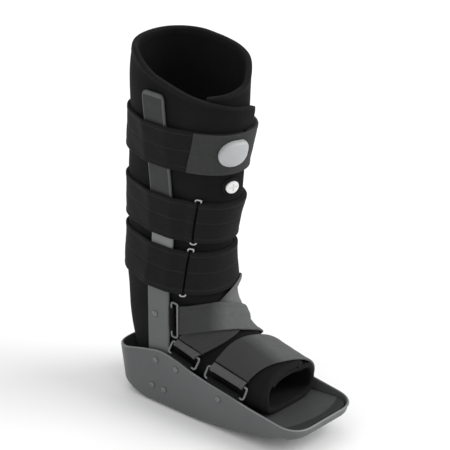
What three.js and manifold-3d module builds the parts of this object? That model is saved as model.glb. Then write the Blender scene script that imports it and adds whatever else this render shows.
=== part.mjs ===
// Medical walking boot: a rocker-soled plastic shell, two riveted uprights and
// a wrap-around foam liner, closed by three calf straps and three foot straps.
// Millimetres, +Z up. The toe points to -Y and the wearer's right is -X.
// The origin is the middle of the sole's flat, on the ground.
import * as THREE from 'three';
import { mergeVertices } from 'three/addons/utils/BufferGeometryUtils.js';
import Module from 'manifold-3d';

const wasm = await Module();
wasm.setup();

// Overall sizes
const soleLength = 281;
const soleWidth = 109;
const bootHeight = 430;
const shellHeight = 72;
const rockerRise = 27;

// Shell and footbed
const shellWall = 3;
const wallLean = 2;
const heelLean = 5;
const heelCorner = 33;
const toeCorner = 30;
const soleRound = 7;
const floorThick = 12;
const insoleThick = 11;

// Uprights
const strutPlace = 0.25;
const strutTopUp = 0.898;
const strutWidth = 32;
const strutThick = 4;
const strutCorner = 7;
const strutFoot = 3;

// Liner
const foamThick = 6;

// Webbing
const webThick = 2;
const strapSeat = 1;
const tabThick = 1.1;
const tabDepth = 16;
const calfStrapWidth = 51;
const ankleStrapWidth = 36;
const instepStrapWidth = 37;
const forefootStrapWidth = 49;
const edgeStep = 0.5;
const foldLength = 90;
const topTabFrom = -62;
const topTabTo = 80;

// Wire and rivets
const ringWire = 3.2;
const loopWire = 2.4;
const loopWidth = 9;
const loopOverhang = 3;
const ringBend = 3;
const footRingHeight = 13;
const footRingLean = 5;
const ankleRingGap = 2;
const ankleRingDepth = 9;
const rivetHead = 8;
const rivetShank = 4;
const rivetDome = 1.6;
const rivetTail = 1;

// Air pump on the top strap
const bulbAcross = 34;
const bulbHeight = 11;
const bulbRound = -20;
const bulbUpStrap = 0.53;
const valveRound = -9;
const valveDrop = 18;
const valveAcross = 14;
const collarAcross = 20;
const valveHeight = 3;
const collarHeight = 1.6;

const clearance = 0.3;

// The shell along its length. "at" is a share of the sole length from the
// heel; rim is a share of the shell height, keel of the rocker rise, plate of
// the floor thickness and foam of the insole thickness.
const shellTable = [
  { at: 0.00, rim: 0.78, keel: 0.52, plate: 0.25, foam: 1.00 },
  { at: 0.08, rim: 0.83, keel: 0.30, plate: 0.50, foam: 1.00 },
  { at: 0.13, rim: 0.88, keel: 0.12, plate: 0.80, foam: 1.00 },
  { at: 0.19, rim: 0.94, keel: 0.00, plate: 1.00, foam: 1.00 },
  { at: 0.28, rim: 1.00, keel: 0.00, plate: 1.00, foam: 1.00 },
  { at: 0.36, rim: 0.96, keel: 0.00, plate: 1.00, foam: 1.00 },
  { at: 0.45, rim: 0.86, keel: 0.00, plate: 1.00, foam: 1.00 },
  { at: 0.50, rim: 0.82, keel: 0.04, plate: 1.00, foam: 1.00 },
  { at: 0.65, rim: 0.73, keel: 0.25, plate: 0.88, foam: 1.00 },
  { at: 0.76, rim: 0.65, keel: 0.45, plate: 0.80, foam: 0.95 },
  { at: 0.86, rim: 0.60, keel: 0.70, plate: 0.63, foam: 0.75 },
  { at: 1.00, rim: 0.53, keel: 0.98, plate: 0.45, foam: 0.50 },
];
const flatFrom = 0.19;
const flatTo = 0.45;

// The outer face of an upright, as a share of half the sole width, at heights
// that are shares of the boot height.
const strutTable = [
  { up: 0.00, side: 0.900 },
  { up: 0.35, side: 0.900 },
  { up: 0.43, side: 0.800 },
  { up: 0.50, side: 0.752 },
  { up: 0.57, side: 0.765 },
  { up: 0.62, side: 0.788 },
  { up: 0.70, side: 0.848 },
  { up: 0.80, side: 0.925 },
  { up: 0.88, side: 0.985 },
  { up: 1.00, side: 1.020 },
];

// The leg of the liner. "up" is a share of the boot height; front and back
// are places along the sole, as shares of its length from the heel.
const legTable = [
  { up: 1.00, front: 0.568, back: 0.045 },
  { up: 0.94, front: 0.572, back: 0.022 },
  { up: 0.87, front: 0.570, back: 0.012 },
  { up: 0.80, front: 0.558, back: 0.004 },
  { up: 0.70, front: 0.524, back: -0.018 },
  { up: 0.61, front: 0.512, back: -0.028 },
  { up: 0.56, front: 0.490, back: -0.032 },
  { up: 0.49, front: 0.466, back: -0.036 },
  { up: 0.42, front: 0.456, back: -0.036 },
  { up: 0.35, front: 0.456, back: -0.034 },
];

// The foot of the liner, as sections that fan from the ankle to the toes.
// over and under are the places of a section's top and bottom points, rise is
// the top's height as a share of the boot height, lift the bottom's height
// over the footbed in the same share, and side the half width as a share of
// the room between the uprights.
const footTable = [
  { over: 0.470, rise: 0.305, under: -0.030, lift: 0.220, side: 0.938 },
  { over: 0.494, rise: 0.281, under: -0.020, lift: 0.148, side: 0.950 },
  { over: 0.517, rise: 0.264, under: -0.001, lift: 0.092, side: 0.952 },
  { over: 0.538, rise: 0.253, under: 0.030, lift: 0.045, side: 0.948 },
  { over: 0.560, rise: 0.244, under: 0.080, lift: 0.015, side: 0.945 },
  { over: 0.582, rise: 0.237, under: 0.160, lift: 0.000, side: 0.950 },
  { over: 0.606, rise: 0.232, under: 0.258, lift: 0.000, side: 0.960 },
  { over: 0.636, rise: 0.227, under: 0.372, lift: 0.000, side: 0.968 },
  { over: 0.671, rise: 0.221, under: 0.490, lift: 0.000, side: 0.978 },
  { over: 0.710, rise: 0.213, under: 0.596, lift: 0.000, side: 0.978 },
  { over: 0.750, rise: 0.205, under: 0.686, lift: 0.000, side: 0.968 },
  { over: 0.782, rise: 0.199, under: 0.756, lift: 0.000, side: 0.955 },
  { over: 0.810, rise: 0.194, under: 0.808, lift: 0.000, side: 0.936 },
];

// The top edge of the liner round the leg: turn in degrees from the front,
// right side first, up as a share of the boot height.
const rimTable = [
  { turn: -24, up: 0.862 },
  { turn: 0, up: 0.874 },
  { turn: 30, up: 0.888 },
  { turn: 60, up: 0.904 },
  { turn: 84, up: 0.930 },
  { turn: 108, up: 0.965 },
  { turn: 132, up: 0.990 },
  { turn: 180, up: 1.000 },
  { turn: 252, up: 0.998 },
  { turn: 288, up: 0.988 },
  { turn: 312, up: 0.970 },
  { turn: 336, up: 0.942 },
  { turn: 360, up: 0.922 },
  { turn: 408, up: 0.902 },
];
const flapTurn = -24;
const tuckTurn = 408;
const turnStep = 14.4;
const tuckStart = 300;

// The calf straps: the bottom edge's height as a share of the boot height, and
// for a strap with a loop, the loop's place round the leg from the front and
// how far its foot lies behind its head, as shares of the sole width.
const calfTable = [
  { name: 'low', up: 0.3465, loop: -0.385, lean: -0.083 },
  { name: 'middle', up: 0.493, loop: -0.367, lean: -0.009 },
  { name: 'top', up: 0.6953 },
];

// Section shapes: one is an ellipse, larger is squarer.
const legPower = 2.3;
const footTopPower = 2.4;
const footSolePower = 3.6;
const cornerPower = 2.5;

// Worked out
const halfWidth = soleWidth / 2;
const strutY = yAt(strutPlace);
const strutInShell = halfWidth - shellWall - wallLean - clearance;
const innerHalf = Math.min(strutTable[0].side * halfWidth, strutInShell) - strutThick - clearance;
const strutTop = strutTopUp * bootHeight;
const [lowStrapBottom, middleStrapBottom, topStrapBottom] = calfTable.map(({ up }) => up * bootHeight);
const lowStrapTop = lowStrapBottom + calfStrapWidth;
const middleStrapTop = middleStrapBottom + calfStrapWidth;
const topStrapTop = topStrapBottom + calfStrapWidth;

function yAt(share) {
  return ((flatFrom + flatTo) / 2 - share) * soleLength;
}

function shareAt(y) {
  return (flatFrom + flatTo) / 2 - y / soleLength;
}

// A smooth curve through one column of a table, read at any place.
function readTable(table, key, column, place) {
  const rows = table[0][key] < table[table.length - 1][key] ? table : [...table].reverse();
  const last = rows.length - 1;
  if (place <= rows[0][key]) return rows[0][column];
  if (place >= rows[last][key]) return rows[last][column];
  const slopes = rows.slice(1).map((row, i) => (row[column] - rows[i][column]) / (row[key] - rows[i][key]));
  const lean = rows.map((row, i) => {
    if (i === 0) return slopes[0];
    if (i === last) return slopes[last - 1];
    if (slopes[i - 1] * slopes[i] <= 0) return 0;
    return (2 * slopes[i - 1] * slopes[i]) / (slopes[i - 1] + slopes[i]);
  });
  const i = rows.findIndex((row, k) => k < last && place < rows[k + 1][key]);
  const span = rows[i + 1][key] - rows[i][key];
  const t = (place - rows[i][key]) / span;
  const rise = t * t * (3 - 2 * t);
  return rows[i][column] * (1 - rise) + rows[i + 1][column] * rise
    + span * t * (1 - t) * (lean[i] * (1 - t) - lean[i + 1] * t);
}

// A closed body from corner points and triangles, turned to face outwards.
function bodyFrom(points, faces) {
  const volume = faces.reduce((sum, [a, b, c]) => {
    return sum + points[a].dot(new THREE.Vector3().crossVectors(points[b], points[c]));
  }, 0);
  const turned = volume < 0 ? faces.map(([a, b, c]) => [a, c, b]) : faces;
  const geometry = new THREE.BufferGeometry();
  const numbers = points.flatMap((point) => point.toArray());
  geometry.setAttribute('position', new THREE.Float32BufferAttribute(numbers, 3));
  geometry.setIndex(turned.flat());
  return geometry;
}

// Skins a row of equal rings. "joined" runs the last ring into the first;
// otherwise both end rings are zipped shut from side to side.
function skinRings(rings, ends) {
  const count = rings[0].length;
  const points = rings.flat();
  const faces = [];
  const joins = ends === 'joined' ? rings.length : rings.length - 1;
  for (let r = 0; r < joins; r += 1) {
    const here = r * count;
    const next = ((r + 1) % rings.length) * count;
    for (let i = 0; i < count; i += 1) {
      const j = (i + 1) % count;
      faces.push([here + i, here + j, next + j], [here + i, next + j, next + i]);
    }
  }
  if (ends !== 'joined') {
    const zip = (start, flip) => {
      for (let i = 0; i < count / 2 - 1; i += 1) {
        const quad = [start + i, start + i + 1, start + count - 2 - i, start + count - 1 - i];
        const ordered = flip ? quad.reverse() : quad;
        faces.push([ordered[0], ordered[1], ordered[2]], [ordered[0], ordered[2], ordered[3]]);
      }
    };
    zip(0, true);
    zip((rings.length - 1) * count, false);
  }
  return bodyFrom(points, faces);
}

function toSolid(geometry) {
  const bare = geometry.clone();
  bare.deleteAttribute('normal');
  bare.deleteAttribute('uv');
  const merged = mergeVertices(bare.index ? bare.toNonIndexed() : bare);
  return new wasm.Manifold(new wasm.Mesh({
    numProp: 3,
    vertProperties: new Float32Array(merged.attributes.position.array),
    triVerts: new Uint32Array(merged.index.array),
  }));
}

function fromSolid(solid) {
  const mesh = solid.getMesh();
  const geometry = new THREE.BufferGeometry();
  geometry.setAttribute('position', new THREE.Float32BufferAttribute(mesh.vertProperties, 3));
  geometry.setIndex([...mesh.triVerts]);
  return geometry;
}

// Cuts a round hole along X through a body.
function drillAcross(geometry, place, radius) {
  const drill = new THREE.CylinderGeometry(radius, radius, soleWidth * 2, 10);
  drill.rotateZ(Math.PI / 2);
  drill.translate(0, place.y, place.z);
  return fromSolid(toSolid(geometry).subtract(toSolid(drill)));
}

// Shell heights over the ground at a place along the sole
function keelAt(y) {
  return readTable(shellTable, 'at', 'keel', shareAt(y)) * rockerRise;
}

function rimAt(y) {
  return readTable(shellTable, 'at', 'rim', shareAt(y)) * shellHeight;
}

function floorAt(y) {
  return keelAt(y) + readTable(shellTable, 'at', 'plate', shareAt(y)) * floorThick;
}

function insoleTopAt(y) {
  return floorAt(y) + clearance + readTable(shellTable, 'at', 'foam', shareAt(y)) * insoleThick;
}

// The sole's outline, drawn in by an inset: a long shape with rounded ends,
// from the toe round the left side to the heel and back up the right side.
function soleOutline(inset, heelInset = inset) {
  const tip = yAt(1) + inset;
  const heel = yAt(0) - heelInset;
  const side = halfWidth - inset;
  const toeR = toeCorner - inset;
  const heelR = heelCorner - inset;
  const cornerSteps = 8;
  const sideSteps = 15;
  const half = [];
  for (let i = 0; i <= cornerSteps; i += 1) {
    const a = (i / cornerSteps) * (Math.PI / 2);
    const x = side - toeR + toeR * Math.sin(a) ** (2 / cornerPower);
    half.push({ x, y: tip + toeR - toeR * Math.cos(a) ** (2 / cornerPower) });
  }
  const sideFrom = tip + toeR;
  const sideTo = heel - heelR;
  for (let i = 1; i < sideSteps; i += 1) {
    half.push({ x: side, y: sideFrom + (sideTo - sideFrom) * (i / sideSteps) });
  }
  for (let i = 0; i <= cornerSteps; i += 1) {
    const a = (i / cornerSteps) * (Math.PI / 2);
    const x = side - heelR + heelR * Math.cos(a) ** (2 / cornerPower);
    half.push({ x, y: sideTo + heelR * Math.sin(a) ** (2 / cornerPower) });
  }
  const mirrored = [...half].reverse().map(({ x, y }) => ({ x: -x, y }));
  return [...half, ...mirrored];
}

// How far the wall leans in at a share of its height.
function wallRing(extra, lift) {
  const sink = 1 - lift;
  return soleOutline(wallLean * sink + extra, heelLean * sink + extra);
}

function buildShell() {
  const rings = [];
  const roundSteps = 2;
  for (let i = 0; i <= roundSteps; i += 1) {
    const a = (i / roundSteps) * (Math.PI / 2);
    const outline = wallRing(soleRound * (1 - Math.sin(a)), 0);
    rings.push(outline.map(({ x, y }) => new THREE.Vector3(x, y, keelAt(y) + soleRound * (1 - Math.cos(a)))));
  }
  const roundTop = soleRound;
  for (const lift of [0.5, 1]) {
    const outline = wallRing(0, lift);
    rings.push(outline.map(({ x, y }) => {
      const low = keelAt(y) + roundTop;
      return new THREE.Vector3(x, y, low + (rimAt(y) - low) * lift);
    }));
  }
  rings.push(wallRing(shellWall, 1).map(({ x, y }) => new THREE.Vector3(x, y, rimAt(y))));
  rings.push(wallRing(shellWall, 0).map(({ x, y }) => new THREE.Vector3(x, y, floorAt(y))));
  return skinRings(rings, 'zipped');
}

function buildInsole() {
  const reach = innerHalf - rivetTail - clearance;
  const outline = wallRing(shellWall + clearance, 0).map(({ x, y }) => {
    const room = reach + (halfWidth - reach) * THREE.MathUtils.smoothstep(shareAt(y), 0.42, 0.62);
    return { x: Math.sign(x) * Math.min(Math.abs(x), room), y };
  });
  const bottom = outline.map(({ x, y }) => new THREE.Vector3(x, y, floorAt(y) + clearance));
  const top = outline.map(({ x, y }) => new THREE.Vector3(x, y, insoleTopAt(y)));
  return skinRings([bottom, top], 'zipped');
}

// Outer face of an upright at a height over the ground.
function strutFace(z) {
  const free = readTable(strutTable, 'up', 'side', z / bootHeight) * halfWidth;
  return z < shellHeight ? Math.min(free, strutInShell) : free;
}

// Heights at which the leg of the liner and the uprights are drawn
const legHeights = [
  bootHeight,
  (bootHeight + strutTop) / 2,
  strutTop,
  (strutTop + topStrapTop) / 2,
  topStrapTop,
  (topStrapTop + topStrapBottom) / 2,
  topStrapBottom,
  (topStrapBottom + middleStrapTop) / 2,
  middleStrapTop,
  (middleStrapTop + middleStrapBottom) / 2,
  middleStrapBottom,
  lowStrapTop,
  (lowStrapTop + lowStrapBottom) / 2,
  lowStrapBottom,
];

function buildStrut(side) {
  const low = floorAt(strutY) + strutFoot;
  const wallHeights = [low, shellHeight * 0.5, shellHeight, (shellHeight + lowStrapBottom) / 2];
  const plain = legHeights.filter((z) => z < strutTop - strutCorner);
  const rows = [...wallHeights, ...plain.reverse()].map((z) => ({ z, trim: 0 }));
  for (let i = 0; i <= 4; i += 1) {
    const a = (i / 4) * (Math.PI / 2);
    rows.push({ z: strutTop - strutCorner * (1 - Math.sin(a)), trim: strutCorner * (1 - Math.cos(a)) });
  }
  const rings = rows.map(({ z, trim }) => {
    const outer = side * strutFace(z);
    const inner = side * (strutFace(z) - strutThick);
    const reach = strutWidth / 2 - trim;
    return [
      new THREE.Vector3(outer, strutY - reach, z),
      new THREE.Vector3(outer, strutY + reach, z),
      new THREE.Vector3(inner, strutY + reach, z),
      new THREE.Vector3(inner, strutY - reach, z),
    ];
  });
  return skinRings(rings, 'zipped');
}

// One section of the liner: its front, back and widest points and how square
// its front and back halves are.
function legSection(z) {
  const up = z / bootHeight;
  return {
    front: new THREE.Vector3(0, yAt(readTable(legTable, 'up', 'front', up)), z),
    back: new THREE.Vector3(0, yAt(readTable(legTable, 'up', 'back', up)), z),
    middle: new THREE.Vector3(0, strutY, z),
    side: strutFace(z) - strutThick - clearance,
    frontPower: legPower,
    backPower: legPower,
  };
}

function footSection(row, index) {
  const toFoot = index / (footTable.length - 1);
  const front = new THREE.Vector3(0, yAt(row.over), row.rise * bootHeight);
  const sole = insoleTopAt(yAt(row.under)) + clearance + row.lift * bootHeight;
  const back = new THREE.Vector3(0, yAt(row.under), sole);
  const share = THREE.MathUtils.lerp(0.56, 0.46, Math.min(1, toFoot * 2));
  return {
    front,
    back,
    middle: back.clone().lerp(front, share),
    side: innerHalf * row.side,
    frontPower: THREE.MathUtils.lerp(legPower, footTopPower, toFoot),
    backPower: THREE.MathUtils.lerp(legPower, footSolePower, Math.min(1, toFoot * 1.6)),
  };
}

// A point on a section at a turn from its front, in degrees, right side first.
function sectionPoint(section, turn) {
  const a = THREE.MathUtils.degToRad(turn);
  const ahead = Math.cos(a) >= 0;
  const power = 2 / (ahead ? section.frontPower : section.backPower);
  const reach = Math.abs(Math.cos(a)) ** power;
  const across = Math.sign(Math.sin(a)) * Math.abs(Math.sin(a)) ** power;
  const end = ahead ? section.front : section.back;
  const point = section.middle.clone().lerp(end, reach);
  point.x = -section.side * across;
  return point;
}

// The liner's outer face: a grid of points, a row for each section from the
// leg's top to the toes. Rows above the top strap stretch to the top edge.
function linerGrid(turns) {
  const rows = legHeights.map((z) => turns.map((turn) => {
    const edge = readTable(rimTable, 'turn', 'up', turn) * bootHeight;
    const share = (z - topStrapTop) / (bootHeight - topStrapTop);
    const height = z > topStrapTop ? topStrapTop + (edge - topStrapTop) * share : z;
    return sectionPoint(legSection(height), turn);
  }));
  const foot = footTable.map((row, i) => turns.map((turn) => sectionPoint(footSection(row, i), turn)));
  return [...rows, ...foot];
}

function gridNormals(grid) {
  const rows = grid.length - 1;
  const cols = grid[0].length - 1;
  return grid.map((row, r) => row.map((point, c) => {
    const along = grid[Math.min(r + 1, rows)][c].clone().sub(grid[Math.max(r - 1, 0)][c]);
    const round = row[Math.min(c + 1, cols)].clone().sub(row[Math.max(c - 1, 0)]);
    return round.cross(along).normalize();
  }));
}

// The turns of the wrap, from the outer flap's free edge round to the edge
// tucked beneath it.
function wrapTurns() {
  const count = Math.round((tuckTurn - flapTurn) / turnStep) + 1;
  return Array.from({ length: count }, (unused, i) => flapTurn + i * turnStep);
}

// The liner is one sheet of foam wrapped round leg and foot, so its section is
// an open spiral that overlaps itself down the front.
function buildLiner() {
  const turns = wrapTurns();
  const grid = linerGrid(turns);
  const out = gridNormals(grid);
  const tuck = turns.map((turn) => {
    return (foamThick + clearance) * THREE.MathUtils.smoothstep(turn, tuckStart, 360 + flapTurn);
  });
  const face = (depth) => grid.map((row, r) => row.map((point, c) => {
    return point.clone().addScaledVector(out[r][c], -tuck[c] - depth);
  }));
  const outer = face(0);
  const inner = face(foamThick);
  const rings = outer.map((row, r) => [...row, ...[...inner[r]].reverse()]);
  return skinRings(rings, 'zipped');
}

// A closed body of the wrapped liner, which the straps are pulled over.
function linerCore() {
  const count = Math.round(360 / turnStep);
  return skinRings(linerGrid(wrapTurns().slice(0, count)), 'zipped');
}

// Where the edges of some bodies cross a plane, in the plane's own two axes.
function crossPoints(bodies, frame) {
  const points = [];
  for (const body of bodies) {
    const place = body.attributes.position;
    const index = body.index.array;
    const corner = new THREE.Vector3();
    const corners = [];
    for (let i = 0; i < place.count; i += 1) {
      corner.fromBufferAttribute(place, i).sub(frame.origin);
      corners.push([corner.dot(frame.across), corner.dot(frame.over), corner.dot(frame.normal)]);
    }
    for (let t = 0; t < index.length; t += 3) {
      for (let e = 0; e < 3; e += 1) {
        const a = corners[index[t + e]];
        const b = corners[index[t + ((e + 1) % 3)]];
        if ((a[2] < 0) !== (b[2] < 0)) {
          const share = a[2] / (a[2] - b[2]);
          points.push([a[0] + (b[0] - a[0]) * share, a[1] + (b[1] - a[1]) * share]);
        }
      }
    }
  }
  return points;
}

// The tight loop round a cloud of points, counter-clockwise.
function tightLoop(cloud) {
  const sorted = [...cloud].sort((a, b) => a[0] - b[0] || a[1] - b[1]);
  const turnOf = (o, a, b) => (a[0] - o[0]) * (b[1] - o[1]) - (a[1] - o[1]) * (b[0] - o[0]);
  const sweep = (points) => {
    const chain = [];
    for (const point of points) {
      while (chain.length > 1 && turnOf(chain[chain.length - 2], chain[chain.length - 1], point) <= 0) {
        chain.pop();
      }
      chain.push(point);
    }
    return chain.slice(0, -1);
  };
  return [...sweep(sorted), ...sweep(sorted.reverse())];
}

// A plane across a strap: normal points to the strap's upper or heel edge,
// across to the right side and over to the front or top.
function strapFrame(origin, normal) {
  const across = new THREE.Vector3(-1, 0, 0).addScaledVector(normal, normal.x).normalize();
  const over = normal.clone().cross(across);
  return { origin, normal, across, over };
}

function lengths(line) {
  const sums = [0];
  for (let i = 1; i < line.length; i += 1) {
    sums.push(sums[i - 1] + Math.hypot(line[i][0] - line[i - 1][0], line[i][1] - line[i - 1][1]));
  }
  return sums;
}

// Equal steps along a line between two lengths, with the way out of each. Each
// step is moved out until the straight pieces clear the line's own corners.
function stepsAlong(line, from, to, count) {
  const sums = lengths(line);
  const at = (length) => {
    let i = sums.findIndex((sum) => sum >= length);
    i = i < 0 ? sums.length - 1 : Math.max(i, 1);
    const share = (length - sums[i - 1]) / (sums[i] - sums[i - 1]);
    return [0, 1].map((k) => line[i - 1][k] + (line[i][k] - line[i - 1][k]) * share);
  };
  const points = [];
  for (let i = 0; i < count; i += 1) points.push(at(from + ((to - from) * i) / (count - 1)));
  const wayOut = (before, after) => {
    const length = Math.hypot(after[0] - before[0], after[1] - before[1]);
    return [(after[1] - before[1]) / length, -(after[0] - before[0]) / length];
  };
  const lifts = points.map(() => 0);
  for (let i = 1; i < count; i += 1) {
    const out = wayOut(points[i - 1], points[i]);
    const start = from + ((to - from) * (i - 1)) / (count - 1);
    const end = from + ((to - from) * i) / (count - 1);
    line.forEach((corner, k) => {
      if (sums[k] <= start || sums[k] >= end) return;
      const over = (corner[0] - points[i - 1][0]) * out[0] + (corner[1] - points[i - 1][1]) * out[1];
      lifts[i - 1] = Math.max(lifts[i - 1], over);
      lifts[i] = Math.max(lifts[i], over);
    });
  }
  return points.map((point, i) => {
    const out = wayOut(points[Math.max(i - 1, 0)], points[Math.min(i + 1, count - 1)]);
    return { point: [point[0] + out[0] * lifts[i], point[1] + out[1] * lifts[i]], out };
  });
}

function toSpace(frame, pair) {
  return frame.origin.clone().addScaledVector(frame.across, pair[0]).addScaledVector(frame.over, pair[1]);
}

// A strap as a row of lines side by side: each line is a list of places with
// the way out of the surface.
function strapBody(lines, seat) {
  const rings = lines[0].map((first, i) => {
    const lift = (line, height) => line[i].place.clone().addScaledVector(line[i].out, height);
    const under = lines.map((line) => lift(line, seat));
    const upper = lines.map((line) => lift(line, seat + webThick));
    return [...under, ...upper.reverse()];
  });
  return skinRings(rings, 'zipped');
}

// The loop round the leg at one height, started behind the leg.
function legLoop(bodies, z) {
  const frame = strapFrame(new THREE.Vector3(0, strutY, z), new THREE.Vector3(0, 0, 1));
  const loop = tightLoop(crossPoints(bodies, frame));
  const back = loop.reduce((best, point, i) => (point[1] < loop[best][1] ? i : best), 0);
  const line = [...loop.slice(back), ...loop.slice(0, back + 1)];
  const sums = lengths(line);
  const i = line.findIndex((point, k) => k > 0 && point[0] <= 0 && line[k - 1][0] > 0);
  const share = line[i - 1][0] / (line[i - 1][0] - line[i][0]);
  return { frame, line, whole: sums[sums.length - 1], front: sums[i - 1] + share * (sums[i] - sums[i - 1]) };
}

// A strap round the leg between two lengths measured from its front, to the
// left side; lean moves its ends along at the bottom edge. Three lines keep it
// close to the liner's changing girth.
function legStrap({ bodies, low, width, from, to, lean, steps }) {
  const lines = [0, 0.5, 1].map((share) => {
    const { frame, line, whole, front } = legLoop(bodies, low + width * share);
    const twice = [...line, ...line.slice(1)];
    const shift = front + lean * (1 - share);
    const start = from + shift;
    const end = to + shift + (to > from ? 0 : whole);
    return stepsAlong(twice, start, end, steps).map(({ point, out }) => ({
      place: toSpace(frame, point),
      out: frame.across.clone().multiplyScalar(out[0]).addScaledVector(frame.over, out[1]),
    }));
  });
  return strapBody(lines, strapSeat);
}

// A strap over the foot: pulled tight from a bar on the right side, over a
// line on top, to a line on the left side, each running across its width.
function footStrap({ bodies, straps, bar, over, anchor, stop, steps }) {
  const pick = (line, share) => line[0].clone().lerp(line[1], share);
  const shares = [0, 1 / 3, 2 / 3, 1];
  const frames = shares.map((share) => {
    const start = pick(bar, share);
    const toEnd = pick(anchor, share).sub(start);
    const normal = pick(over, share).sub(start).cross(toEnd).normalize();
    if (normal.y + normal.z < 0) normal.negate();
    return strapFrame(start, normal);
  });
  const ridges = frames.map((frame) => crossPoints(straps, frame).map((pair) => toSpace(frame, pair)));
  const lines = frames.map((frame, k) => {
    const end = pick(anchor, shares[k]);
    const near = ridges.slice(Math.max(k - 1, 0), k + 2).flat().map((place) => {
      const offset = place.clone().sub(frame.origin);
      return [offset.dot(frame.across), offset.dot(frame.over)];
    });
    const loop = tightLoop([...crossPoints(bodies, frame), ...near, [0, 0]]);
    const first = loop.findIndex((point) => point[0] === 0 && point[1] === 0);
    const line = [...loop.slice(first), ...loop.slice(0, first)];
    const past = (pair) => {
      const place = toSpace(frame, pair);
      return place.x > 0 && stop(place, end);
    };
    const stopAt = line.findIndex((point, i) => i > 1 && past(point));
    const cut = line.slice(0, stopAt + 1);
    const [a, b] = cut.slice(-2);
    const between = (share2) => [0, 1].map((k) => a[k] + (b[k] - a[k]) * share2);
    let low = 0;
    let high = 1;
    while (high - low > 0.001) {
      const half = (low + high) / 2;
      if (past(between(half))) high = half;
      else low = half;
    }
    cut[cut.length - 1] = between(high);
    const sums = lengths(cut);
    const clearOfBar = ringWire / 2 + 4 * clearance;
    return stepsAlong(cut, clearOfBar, sums[sums.length - 1], steps).map(({ point, out }) => ({
      place: toSpace(frame, point),
      out: frame.across.clone().multiplyScalar(out[0]).addScaledVector(frame.over, out[1]),
    }));
  });
  return strapBody(lines, strapSeat);
}

// A closed loop of round wire through its corner points.
function wireLoop(corners, radius, bend) {
  const path = [];
  corners.forEach((corner, i) => {
    const before = corners[(i + corners.length - 1) % corners.length];
    const after = corners[(i + 1) % corners.length];
    const entry = corner.clone().addScaledVector(before.clone().sub(corner).normalize(), bend);
    const leave = corner.clone().addScaledVector(after.clone().sub(corner).normalize(), bend);
    const arc = new THREE.QuadraticBezierCurve3(entry, corner, leave);
    path.push(...arc.getPoints(2));
  });
  const middle = new THREE.Vector3();
  corners.forEach((corner) => middle.addScaledVector(corner, 1 / corners.length));
  const last = corners[corners.length - 1];
  const flat = corners[1].clone().sub(corners[0]).cross(last.clone().sub(corners[0])).normalize();
  const sides = 6;
  const rings = path.map((point, i) => {
    const before = path[(i + path.length - 1) % path.length];
    const ahead = path[(i + 1) % path.length].clone().sub(before).normalize();
    const outward = ahead.clone().cross(flat).normalize();
    if (outward.dot(point.clone().sub(middle)) < 0) outward.negate();
    return Array.from({ length: sides }, (unused, k) => {
      const a = (k / sides) * Math.PI * 2;
      return point.clone()
        .addScaledVector(outward, Math.cos(a) * radius)
        .addScaledVector(flat, Math.sin(a) * radius);
    });
  });
  return skinRings(rings, 'joined');
}

// Webbing folded round a bar: an eye with one tail. inward points from the
// bar to the side of the eye that the tail runs on, tail the way it runs.
function webTab({ bar, width, inward, tail, length }) {
  const bore = ringWire / 2 + clearance;
  const rim = bore + tabThick;
  const meet = Math.acos((rim - tabThick) / rim);
  const shape = new THREE.Shape();
  shape.moveTo(rim, -length);
  shape.lineTo(rim, 0);
  shape.absarc(0, 0, rim, 0, Math.PI * 2 - meet, false);
  shape.lineTo(rim - tabThick, -length);
  shape.closePath();
  const hole = new THREE.Path();
  hole.absarc(0, 0, bore, 0, Math.PI * 2, true);
  shape.holes.push(hole);
  const body = new THREE.ExtrudeGeometry(shape, { depth: width, bevelEnabled: false, curveSegments: 10 });
  body.translate(0, 0, -width / 2);
  const up = tail.clone().negate();
  const basis = new THREE.Matrix4().makeBasis(inward, up, inward.clone().cross(up));
  body.applyMatrix4(basis);
  const middle = bar[0].clone().lerp(bar[1], 0.5);
  return body.translate(middle.x, middle.y, middle.z);
}

// A domed rivet along X: seat is the outer face that its head lies on, grip
// what its shank passes through, and tail whether it has an inner head.
function buildRivet({ seat, y, z, grip, tail, side }) {
  const head = rivetHead / 2;
  const shank = rivetShank / 2;
  const profile = [
    [0, rivetDome],
    [head * 0.55, rivetDome * 0.85],
    [head * 0.9, rivetDome * 0.4],
    [head, 0],
    [shank, 0],
    [shank, -grip],
  ];
  if (tail) profile.push([head * 0.85, -grip], [head * 0.85, -grip - rivetTail], [0, -grip - rivetTail]);
  else profile.push([0, -grip]);
  const turned = profile.reverse().map(([r, h]) => new THREE.Vector2(r, h));
  const body = new THREE.LatheGeometry(turned, 8);
  body.rotateZ(side > 0 ? -Math.PI / 2 : Math.PI / 2);
  return body.translate(side * (seat + clearance), y, z);
}

// A boss that lies on a strap or the liner: outline points are lengths round
// the leg and up it, and each row is a share of the outline and a height.
function surfaceBoss(bodies, centre, outline, rows) {
  const rings = rows.map(({ share, height }) => outline.map(([round, up]) => {
    const { frame, line, front } = legLoop(bodies, centre.z + up * share);
    const length = front + centre.round + round * share;
    const [spot] = stepsAlong(line, length, length + 1, 2);
    const out = frame.across.clone().multiplyScalar(spot.out[0]).addScaledVector(frame.over, spot.out[1]);
    return toSpace(frame, spot.point).addScaledVector(out, strapSeat + height);
  }));
  return skinRings(rings, 'zipped');
}

function roundOutline(across, power) {
  const steps = 10;
  const side = (sign) => Array.from({ length: steps }, (unused, i) => {
    const a = ((i + 0.5) / steps) * Math.PI;
    const square = sign > 0 && a < Math.PI / 2 ? power : 2;
    const round = sign * Math.abs(Math.sin(a)) ** (2 / square);
    const up = Math.sign(Math.cos(a)) * Math.abs(Math.cos(a)) ** (2 / square);
    return [(round * across) / 2, (up * across) / 2];
  });
  return [...side(1), ...side(-1).reverse()];
}

const group = new THREE.Group();

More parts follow.
